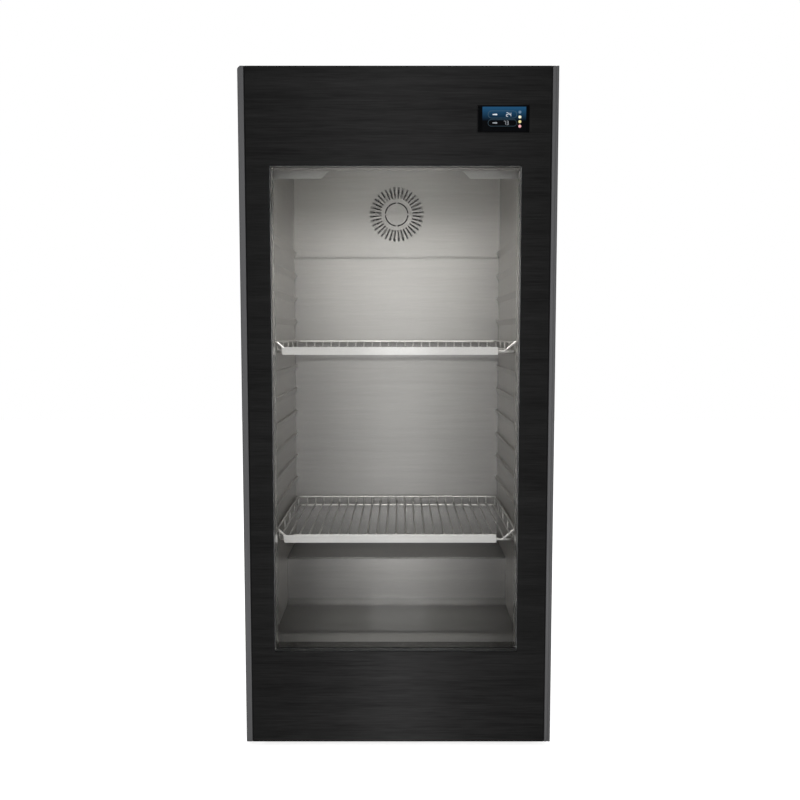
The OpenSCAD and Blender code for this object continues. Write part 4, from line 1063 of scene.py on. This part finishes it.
class CABINET_OT_stage(bpy.types.Operator):
    """White studio: floor, world, soft lights and the camera"""

    bl_idname = "cabinet.stage"
    bl_label = "Studio"

    # Width and height of each soft light, its height above the floor, and its depth: behind the camera,
    # before the door and from the middle of the cabinet
    front_size, front_height, front_behind = (0.25, 2.6), 1.0, 0.9
    low_size, low_height, low_before = (0.15, 0.12), 0.1, 0.5
    top_size, top_height, top_y = (2.4, 2.4), 3.0, -0.4
    floor_reach = 6.0
    floor_patch = 0.5

    def execute(self, context):
        scene = bpy.context.scene
        scene.view_settings.view_transform = "Standard"
        size = sizes()
        camera_y = FRONT_Y - size.camera_distance
        upright = math.radians(90)
        self.add_world(scene)
        self.add_floor()
        area_light("front_softbox", (0, camera_y - self.front_behind, self.front_height), (upright, 0, 0),
                   *self.front_size, size.front_power)
        area_light("low_softbox", (0, FRONT_Y - self.low_before, self.low_height), (upright, 0, 0),
                   *self.low_size, size.low_power)
        area_light("top_softbox", (0, self.top_y, self.top_height), (0, 0, 0),
                   *self.top_size, size.top_power)
        camera = bpy.data.cameras.new("photo_camera")
        camera.sensor_width = 36
        camera.lens = size.camera_lens
        holder = bpy.data.objects.new("photo_camera", camera)
        holder.location = (size.camera_x, camera_y, size.camera_height)
        holder.rotation_euler = (upright - size.camera_pitch, 0, 0)
        scene.collection.objects.link(holder)
        scene.camera = holder
        return {"FINISHED"}

    def add_world(self, scene):
        """White where it is seen, and dimmer as a light on the object."""
        world = bpy.data.worlds.new("white_studio")
        world.use_nodes = True
        scene.world = world
        tree = world.node_tree
        strength = ranged(tree, seen_directly(tree), sizes().ambient, 1.0)
        set_inputs(tree.nodes["Background"], Color=hex_rgba("#FFFFFF"), Strength=strength)

    def add_floor(self):
        """Pale floor that keeps the soft shadow and is white elsewhere."""
        marks = np.linspace(-self.floor_reach, self.floor_reach, 3)
        x, y = np.meshgrid(marks, marks)
        points = np.stack([x, y, np.zeros_like(x)], -1).reshape(-1, 3)
        mesh = bpy.data.meshes.new("studio_floor")
        mesh.from_pydata(points.tolist(), [], grid_quads(3, 3).tolist())
        floor = bpy.data.objects.new("studio_floor", mesh)
        bpy.context.scene.collection.objects.link(floor)
        material, tree, shader = new_material("pale_studio_floor")
        paper = noise_on(tree, self.floor_patch, 2.0)
        set_inputs(shader, Base_Color=shaded(tree, paper, "#E9E9E8", "#EDEDEC"), Roughness=0.9,
                   Specular_IOR_Level=0.1, Emission_Color=hex_rgba("#FFFFFF"),
                   Emission_Strength=ranged(tree, seen_directly(tree), 0.0, 0.7))
        mesh.materials.append(material)


class CABINET_PT_panel(bpy.types.Panel):
    """Sidebar panel with every step"""

    bl_idname = "CABINET_PT_panel"
    bl_label = "Dry-ageing cabinet"
    bl_space_type = "VIEW_3D"
    bl_region_type = "UI"
    bl_category = "Cabinet"

    def draw(self, context):
        for step in STEPS:
            self.layout.operator(step.bl_idname)


STEPS = (
    CABINET_OT_outer_shell, CABINET_OT_inner_space, CABINET_OT_lighting, CABINET_OT_door_panels,
    CABINET_OT_glazing, CABINET_OT_gasket, CABINET_OT_display, CABINET_OT_shelves,
    CABINET_OT_machine_space, CABINET_OT_fasteners, CABINET_OT_hinges, CABINET_OT_stage,
)
CLASSES = (CabinetSizes, CabinetColours, *STEPS, CABINET_PT_panel)


def register():
    for kind in CLASSES:
        bpy.utils.register_class(kind)
    bpy.types.Scene.cabinet_sizes = bpy.props.PointerProperty(type=CabinetSizes)
    bpy.types.Scene.cabinet_colours = bpy.props.PointerProperty(type=CabinetColours)


def unregister():
    del bpy.types.Scene.cabinet_colours
    del bpy.types.Scene.cabinet_sizes
    for kind in reversed(CLASSES):
        bpy.utils.unregister_class(kind)


def main():
    register()
    for step in STEPS:
        group, name = step.bl_idname.split(".")
        getattr(getattr(bpy.ops, group), name)()


if __name__ == "__main__":
    main()
